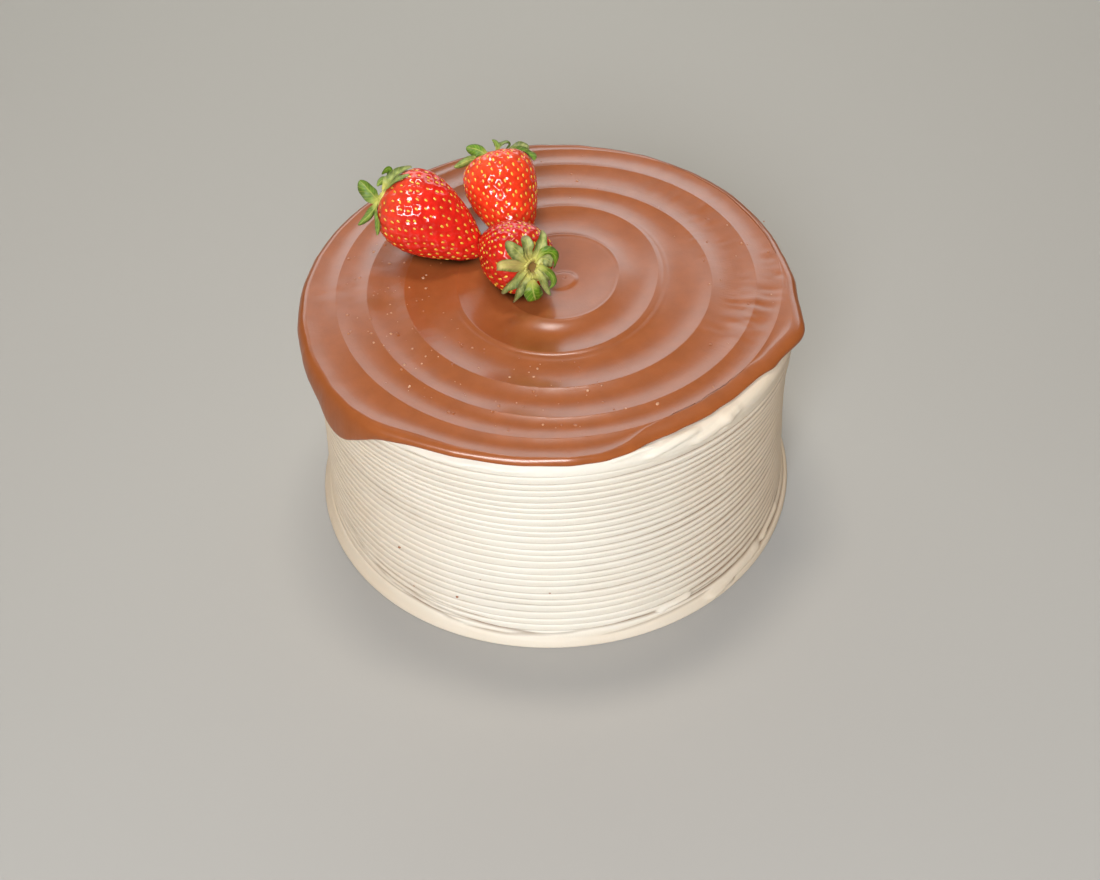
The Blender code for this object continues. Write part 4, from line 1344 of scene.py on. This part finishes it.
def cream_material(settings):
    """Whipped cream: soft, slightly waxy, pale as painted light in front, tan in painted shade away from
    it, and brown painted shade in its deep grooves.
    """
    n = Finish("cream_soft")
    patch = n.span(n.noise(n.place, 38.0, 2.0), 0.35, 0.68)
    deep, pale, _ = n.marks()
    pale = n.maths("SUBTRACT", pale, n.maths("MULTIPLY", patch, 0.12), clamp=True)
    # Painted light and shade: pale cream in the lit front, tan cream in shade round the sides
    colour = n.blend(pale, shade(settings.tan, 1.0), shade(settings.colour, 1.0))
    # Painted shade: brown in the deep grooves
    colour = n.blend(n.span(deep, 0.22, 0.75, 0.0, 0.92), colour, GROOVE_PAINTED_SHADE)
    grain = n.grain(900.0, 3.0, 1.0, 260.0, 1.6)
    return n.finish(
        Base_Color=colour, Roughness=n.span(grain["Fine"], 0.3, 0.7, 0.46, 0.62),
        Normal=n.bump(grain["Height"], 0.00012, 0.55), Specular_IOR_Level=0.38,
        Subsurface_Weight=0.10, Subsurface_Radius=(1.0, 0.65, 0.42), Subsurface_Scale=0.0015)


def chocolate_material(settings):
    """Milk chocolate icing: a soft gloss, mottled brown, dragged outwards, with a painted contact shadow
    by the berries.

    The drag is noise stretched outwards from the swirl's centre, and the sweep is noise
    stretched round it. The coat of gloss is thin on the rim's face, and thin by the berries as a painted
    shadow over their reflections.
    """
    n = Finish("chocolate_gloss")
    from_centre = n.add("ShaderNodeVectorMath", {0: n.place, 1: (*SWIRL_CENTRE, SWIRL_CREST_Z)},
                        operation="SUBTRACT").outputs[0]
    level = n.add("ShaderNodeVectorMath", {0: from_centre, 1: (1.0, 1.0, 0.0)},
                  operation="MULTIPLY").outputs[0]
    out = n.add("ShaderNodeVectorMath", {0: level}, operation="LENGTH").outputs["Value"]
    way = n.axes(n.add("ShaderNodeVectorMath", {0: level}, operation="NORMALIZE").outputs[0])

    def polar(round_scale, out_scale):
        """Coordinates that run round the swirl's centre and out from it."""
        return n.add("ShaderNodeCombineXYZ", {0: n.maths("MULTIPLY", way[0], round_scale),
                                              1: n.maths("MULTIPLY", way[1], round_scale),
                                              2: n.maths("MULTIPLY", out, out_scale)}).outputs[0]

    drag = n.noise(polar(26.0, 110.0), 3.2, 3.0, 0.6)
    sweep = n.noise(polar(2.2, 900.0), 1.0, 2.0, 0.5)
    where = n.span(n.noise(n.place, 60.0, 1.0), 0.42, 0.62)
    height = n.maths("ADD", n.maths("MULTIPLY", n.maths("MULTIPLY", drag, where), 1.2),
                     n.maths("MULTIPLY", sweep, 0.5))
    colour, _ = n.mottle(shade(settings.colour, 0.93), shade(settings.colour, 1.08),
                         130.0, 4.0, 0.6, 0.35, 0.7)
    # Painted contact shadow: darker colour and a thinner coat where the berries rest
    contact_shade = n.marks()[0]
    colour = n.blend(n.span(contact_shade, 0.04, 0.75, 0.0, 0.94), colour, shade(settings.colour, 0.10))
    coat = n.maths("MULTIPLY", n.span(n.axes(n.place)[2], 0.0988, 0.0999, 0.22, 1.0),
                   n.span(contact_shade, 0.05, 0.7, 1.0, 0.12))
    return n.finish(
        Base_Color=colour, Roughness=n.span(drag, 0.35, 0.7, 0.30, 0.42),
        Normal=n.bump(height, 0.00016, 0.35), Specular_IOR_Level=0.12,
        Coat_Weight=coat, Coat_Roughness=0.19, Coat_IOR=1.45,
        Subsurface_Weight=0.05, Subsurface_Radius=(1.0, 0.4, 0.2), Subsurface_Scale=0.002)


def speck_material(settings):
    """The pimples: the same chocolate with a little pale cream in it."""
    n = Finish("chocolate_speck")
    colour, noise = n.mottle(shade(settings.colour, 1.15), SPECK_PALE, 90.0, 1.0,
                             low=0.4, high=0.62)
    return n.finish(Base_Color=colour, Roughness=n.span(noise, 0.4, 0.62, 0.3, 0.45),
                    Coat_Weight=0.4, Coat_Roughness=0.2)


def crumb_material():
    """Crumbs: dark red-brown sponge."""
    n = Finish("cake_crumb")
    colour, noise = n.mottle(CRUMB_DARK, CRUMB_PALE, 420.0, 2.0)
    return n.finish(Base_Color=colour, Roughness=n.span(noise, 0.3, 0.7, 0.6, 0.85))


def berry_material(settings, name):
    """Strawberry skin: glossy deep red, paler near the leaves and a little round each seed."""
    red = tuple(part * tint for part, tint in zip(settings.colour, BERRY_TINTS[name]))
    n = Finish("strawberry_skin_" + name)
    along, pressed, _ = n.marks()
    colour, noise = n.mottle(shade(red, 0.80), shade(red, 1.12), 160.0, low=0.35, high=0.68)
    share = n.maths("MULTIPLY", n.span(along, 0.42, 0.08), n.span(noise, 0.2, 0.8, 0.35, 1.0))
    colour = n.blend(n.maths("MULTIPLY", share, BERRY_LIFTS[name]), colour,
                     shade(settings.shoulder_colour, 1.0))
    glow = n.maths("MULTIPLY", n.span(pressed, 0.25, 0.9), 0.35)
    colour = n.blend(glow, colour, (red[0], red[1] + 0.05, red[2] + 0.01, 1.0))
    grain = n.grain(1500.0, 2.0, 0.35, 420.0, 1.0)
    return n.finish(
        Base_Color=colour, Roughness=n.span(grain["Coarse"], 0.3, 0.7, 0.20, 0.34),
        Normal=n.bump(grain["Height"], 0.00022, 0.5), Specular_IOR_Level=0.08,
        Coat_Weight=0.85, Coat_Roughness=0.05,
        Subsurface_Weight=0.12, Subsurface_Radius=(1.0, 0.25, 0.15), Subsurface_Scale=0.003)


def seed_material(settings):
    """Seeds: gold, and browner in places."""
    n = Finish("strawberry_seed")
    colour, noise = n.mottle(shade(settings.seed_colour, 1.0), SEED_BROWN, 210.0, 1.0,
                             low=0.40, high=0.62)
    return n.finish(Base_Color=colour, Roughness=n.span(noise, 0.3, 0.7, 0.30, 0.45),
                    Coat_Weight=0.3, Coat_Roughness=0.2)


def leaf_material(settings):
    """Sepals: pale at the root, then green or dull, dark edged, veined, some with dry tips.

    The tone runs from fresh green at 0 to dull olive at 0.85 and on to tan at 1.5. The crown
    has the same finish, with a brown hollow.
    """
    n = Finish("leaf_sepal")
    along, across, tone = n.marks()
    bright, mottle = n.mottle(shade(settings.green, 0.60), shade(settings.green, 1.35),
                              420.0, low=0.3, high=0.7)
    dull, _ = n.mottle(LEAF_DULL_DARK, LEAF_DULL_PALE, 420.0, low=0.3, high=0.7)
    pale, soft = n.mottle(shade(settings.pale, 0.85), shade(settings.pale, 1.1), 150.0, 2.0,
                          low=0.3, high=0.7)
    colour = n.blend(n.span(tone, 0.15, 0.85), bright, dull)
    colour = n.blend(n.span(tone, 1.0, 1.5), colour, LEAF_TAN)
    root = n.span(n.maths("ADD", along, n.maths("MULTIPLY", soft, 0.2)), 0.48, 0.10)
    colour = n.blend(root, colour, pale)
    side = n.maths("ABSOLUTE", across)
    edge = n.maths("MULTIPLY", n.span(side, 0.55, 0.95), n.span(along, 0.15, 0.5))
    colour = n.blend(n.maths("MULTIPLY", edge, 0.85), colour, LEAF_EDGE)
    slant = n.maths("SUBTRACT", n.maths("MULTIPLY", side, 2.2), n.maths("MULTIPLY", along, 9.0))
    vein = n.span(n.maths("SINE", n.maths("MULTIPLY", slant, 5.0)), 0.72, 1.0)
    veins = n.maths("MAXIMUM", n.maths("MULTIPLY", vein, 0.45), n.span(side, 0.12, 0.02))
    colour = n.blend(n.maths("MULTIPLY", veins, 0.45), colour, shade(settings.pale, 0.95))
    tip = n.span(n.maths("ADD", along, n.maths("MULTIPLY", soft, 0.25)), 0.98, 1.12)
    dry = n.maths("MULTIPLY", tip, n.span(tone, 0.5, 0.75))
    colour = n.blend(n.maths("MULTIPLY", dry, 0.85), colour, LEAF_DRY)
    hollow = n.maths("MULTIPLY", n.span(across, 0.68, 0.30), n.span(along, -0.05, -0.15))
    colour = n.blend(hollow, colour, CROWN_BROWN)
    height = n.maths("ADD", n.maths("MULTIPLY", veins, -0.8), mottle)
    return n.finish(
        Base_Color=colour, Roughness=n.span(mottle, 0.3, 0.7, 0.38, 0.55),
        Normal=n.bump(height, 0.00015, 0.5), Specular_IOR_Level=0.25,
        Subsurface_Weight=0.10, Subsurface_Radius=(0.6, 1.0, 0.2), Subsurface_Scale=0.0015)


def floor_material():
    """The pale floor: a plain matt surface, its tone hardly varied."""
    n = Finish("floor_pale")
    colour, noise = n.mottle(FLOOR_DARK, FLOOR_PALE, 3.0, 2.0)
    return n.finish(Base_Color=colour, Roughness=n.span(noise, 0.3, 0.7, 0.65, 0.8))


# Stage

def make_panel(name, settings):
    """A soft light panel of PANELS, facing LIGHT_AIM.

    An area light's power is radiance times area times pi.
    """
    (azimuth, elevation, distance, width, height,
     setting, share, colour, unseen_by) = PANELS[name]
    data = bpy.data.lights.new("panel_" + name, "AREA")
    data.shape = "RECTANGLE"
    data.size = width
    data.size_y = height
    data.energy = getattr(settings, setting) * share * width * height * math.pi
    data.color = colour
    flat = math.cos(math.radians(elevation))
    way = Vector((flat * math.cos(math.radians(azimuth)), flat * math.sin(math.radians(azimuth)),
                  math.sin(math.radians(elevation))))
    made = bpy.data.objects.new("panel_" + name, data)
    bpy.context.scene.collection.objects.link(made)
    made.location = Vector(LIGHT_AIM) + way * distance
    made.rotation_euler = way.to_track_quat("Z", "Y").to_euler()
    for rays in ("visible_camera", *unseen_by):
        setattr(made, rays, False)


def make_world():
    """Faint warm air for the light, and a plain grey backdrop for the camera alone."""
    world = bpy.data.worlds.new("studio_air")
    world.use_nodes = True
    nodes, links = world.node_tree.nodes, world.node_tree.links
    air = nodes["Background"]
    air.inputs["Color"].default_value = AIR_COLOUR
    air.inputs["Strength"].default_value = AIR_STRENGTH
    backdrop = nodes.new("ShaderNodeBackground")
    backdrop.inputs["Color"].default_value = BACKDROP_COLOUR
    seen = nodes.new("ShaderNodeMixShader")
    links.new(nodes.new("ShaderNodeLightPath").outputs["Is Camera Ray"], seen.inputs[0])
    links.new(air.outputs[0], seen.inputs[1])
    links.new(backdrop.outputs[0], seen.inputs[2])
    links.new(seen.outputs[0], nodes["World Output"].inputs["Surface"])
    bpy.context.scene.world = world


def make_floor():
    """The floor: a flat disc of rings about the origin, at the foot of the cake."""
    turns = np.linspace(0, 2 * math.pi, 96, endpoint=False)
    reach = np.array(FLOOR_RINGS)[:, None]
    height = np.where(np.arange(len(reach)) == 0, -FLOOR_DEPTH, 0.0)[:, None]
    grid = np.stack(np.broadcast_arrays(reach * np.cos(turns), reach * np.sin(turns), height), -1)
    floor = closed_skins("floor", grid[None], np.array([[0.0, 0.0, -FLOOR_DEPTH]]),
                         np.array([[0.0, 0.0, 0.0]]), floor_material())


def make_camera():
    """The camera at the photograph's place, tilted down and rolled as it was."""
    data = bpy.data.cameras.new("camera")
    data.sensor_fit = "HORIZONTAL"
    data.sensor_width = SENSOR_WIDTH
    data.lens = SENSOR_WIDTH * CAMERA_FOCAL / PHOTO_WIDTH
    camera = bpy.data.objects.new("camera", data)
    bpy.context.scene.collection.objects.link(camera)
    forward = Vector((0, math.cos(CAMERA_DOWN), -math.sin(CAMERA_DOWN)))
    right = Vector((1, 0, 0))
    up = right.cross(forward)
    turned_right = right * math.cos(CAMERA_ROLL) + up * math.sin(CAMERA_ROLL)
    turned_up = up * math.cos(CAMERA_ROLL) - right * math.sin(CAMERA_ROLL)
    turn = Matrix((turned_right, turned_up, -forward)).transposed()
    camera.matrix_world = Matrix.Translation(CAMERA_PLACE) @ turn.to_4x4()
    bpy.context.scene.camera = camera


class CAKE_OT_cream(bpy.types.Operator):
    """Make the combed cream coat and the crumbs in it"""

    bl_idname = "cake.cream"
    bl_label = "Cream coat"

    def execute(self, context):
        settings = context.scene.cake_cream
        coat = make_cream_coat(settings)
        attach(coat, "root")
        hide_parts("cake_body")
        crumbs = make_crumbs(settings)
        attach(crumbs, "root")
        return {"FINISHED"}


class CAKE_OT_chocolate(bpy.types.Operator):
    """Make the swirled chocolate top and its specks"""

    bl_idname = "cake.chocolate"
    bl_label = "Chocolate top"

    def execute(self, context):
        settings = context.scene.cake_chocolate
        top = make_chocolate(settings)
        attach(top, "root")
        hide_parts("chocolate_top")
        specks = make_specks(settings)
        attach(specks, "root")
        return {"FINISHED"}


class CAKE_OT_strawberries(bpy.types.Operator):
    """Make the three strawberries with their seeds"""

    bl_idname = "cake.strawberries"
    bl_label = "Strawberries"

    def execute(self, context):
        settings = context.scene.cake_berry
        seed = seed_material(settings)
        for name in BERRIES:
            make_berry(name, settings, berry_material(settings, name))
            make_seeds(name, settings, seed)
        return {"FINISHED"}


class CAKE_OT_leaves(bpy.types.Operator):
    """Make the sepals and crowns of the strawberries"""

    bl_idname = "cake.leaves"
    bl_label = "Leaves"

    def execute(self, context):
        leaf = leaf_material(context.scene.cake_leaf)
        for name in BERRIES:
            make_sepals(name, leaf)
            make_crown(name, leaf)
        return {"FINISHED"}


class CAKE_OT_stage(bpy.types.Operator):
    """Make the floor, the soft studio lights and the camera"""

    bl_idname = "cake.stage"
    bl_label = "Stage"

    def execute(self, context):
        make_floor()
        for name in PANELS:
            make_panel(name, context.scene.cake_stage)
        make_world()
        context.scene.view_settings.view_transform = "Standard"
        make_camera()
        return {"FINISHED"}


class CAKE_PT_sidebar(bpy.types.Panel):
    """Settings and makers of the cake's pieces"""

    bl_label = "Cake"
    bl_idname = "CAKE_PT_sidebar"
    bl_space_type = "VIEW_3D"
    bl_region_type = "UI"
    bl_category = "Cake"

    def draw(self, context):
        for field, group in SETTINGS.items():
            box = self.layout.box()
            for key in group.__annotations__:
                box.prop(getattr(context.scene, field), key)
        for operator in OPERATORS:
            self.layout.operator(operator.bl_idname)


SETTINGS = {
    "cake_cream": CakeCreamSettings,
    "cake_chocolate": CakeChocolateSettings,
    "cake_berry": CakeBerrySettings,
    "cake_leaf": CakeLeafSettings,
    "cake_stage": CakeStageSettings,
}
OPERATORS = (CAKE_OT_cream, CAKE_OT_chocolate, CAKE_OT_strawberries, CAKE_OT_leaves, CAKE_OT_stage)
CLASSES = (*SETTINGS.values(), *OPERATORS, CAKE_PT_sidebar)


def register():
    for item in CLASSES:
        bpy.utils.register_class(item)
    for field, group in SETTINGS.items():
        setattr(bpy.types.Scene, field, bpy.props.PointerProperty(type=group))


def unregister():
    for field in SETTINGS:
        delattr(bpy.types.Scene, field)
    for item in reversed(CLASSES):
        bpy.utils.unregister_class(item)


def main():
    """Make every piece in order."""
    for item in list(bpy.data.objects):
        if item.name in ("Cube", "Light", "Camera"):
            bpy.data.objects.remove(item, do_unlink=True)
    register()
    bpy.ops.cake.cream()
    bpy.ops.cake.chocolate()
    bpy.ops.cake.strawberries()
    bpy.ops.cake.leaves()
    bpy.ops.cake.stage()


if __name__ == "__main__":
    main()
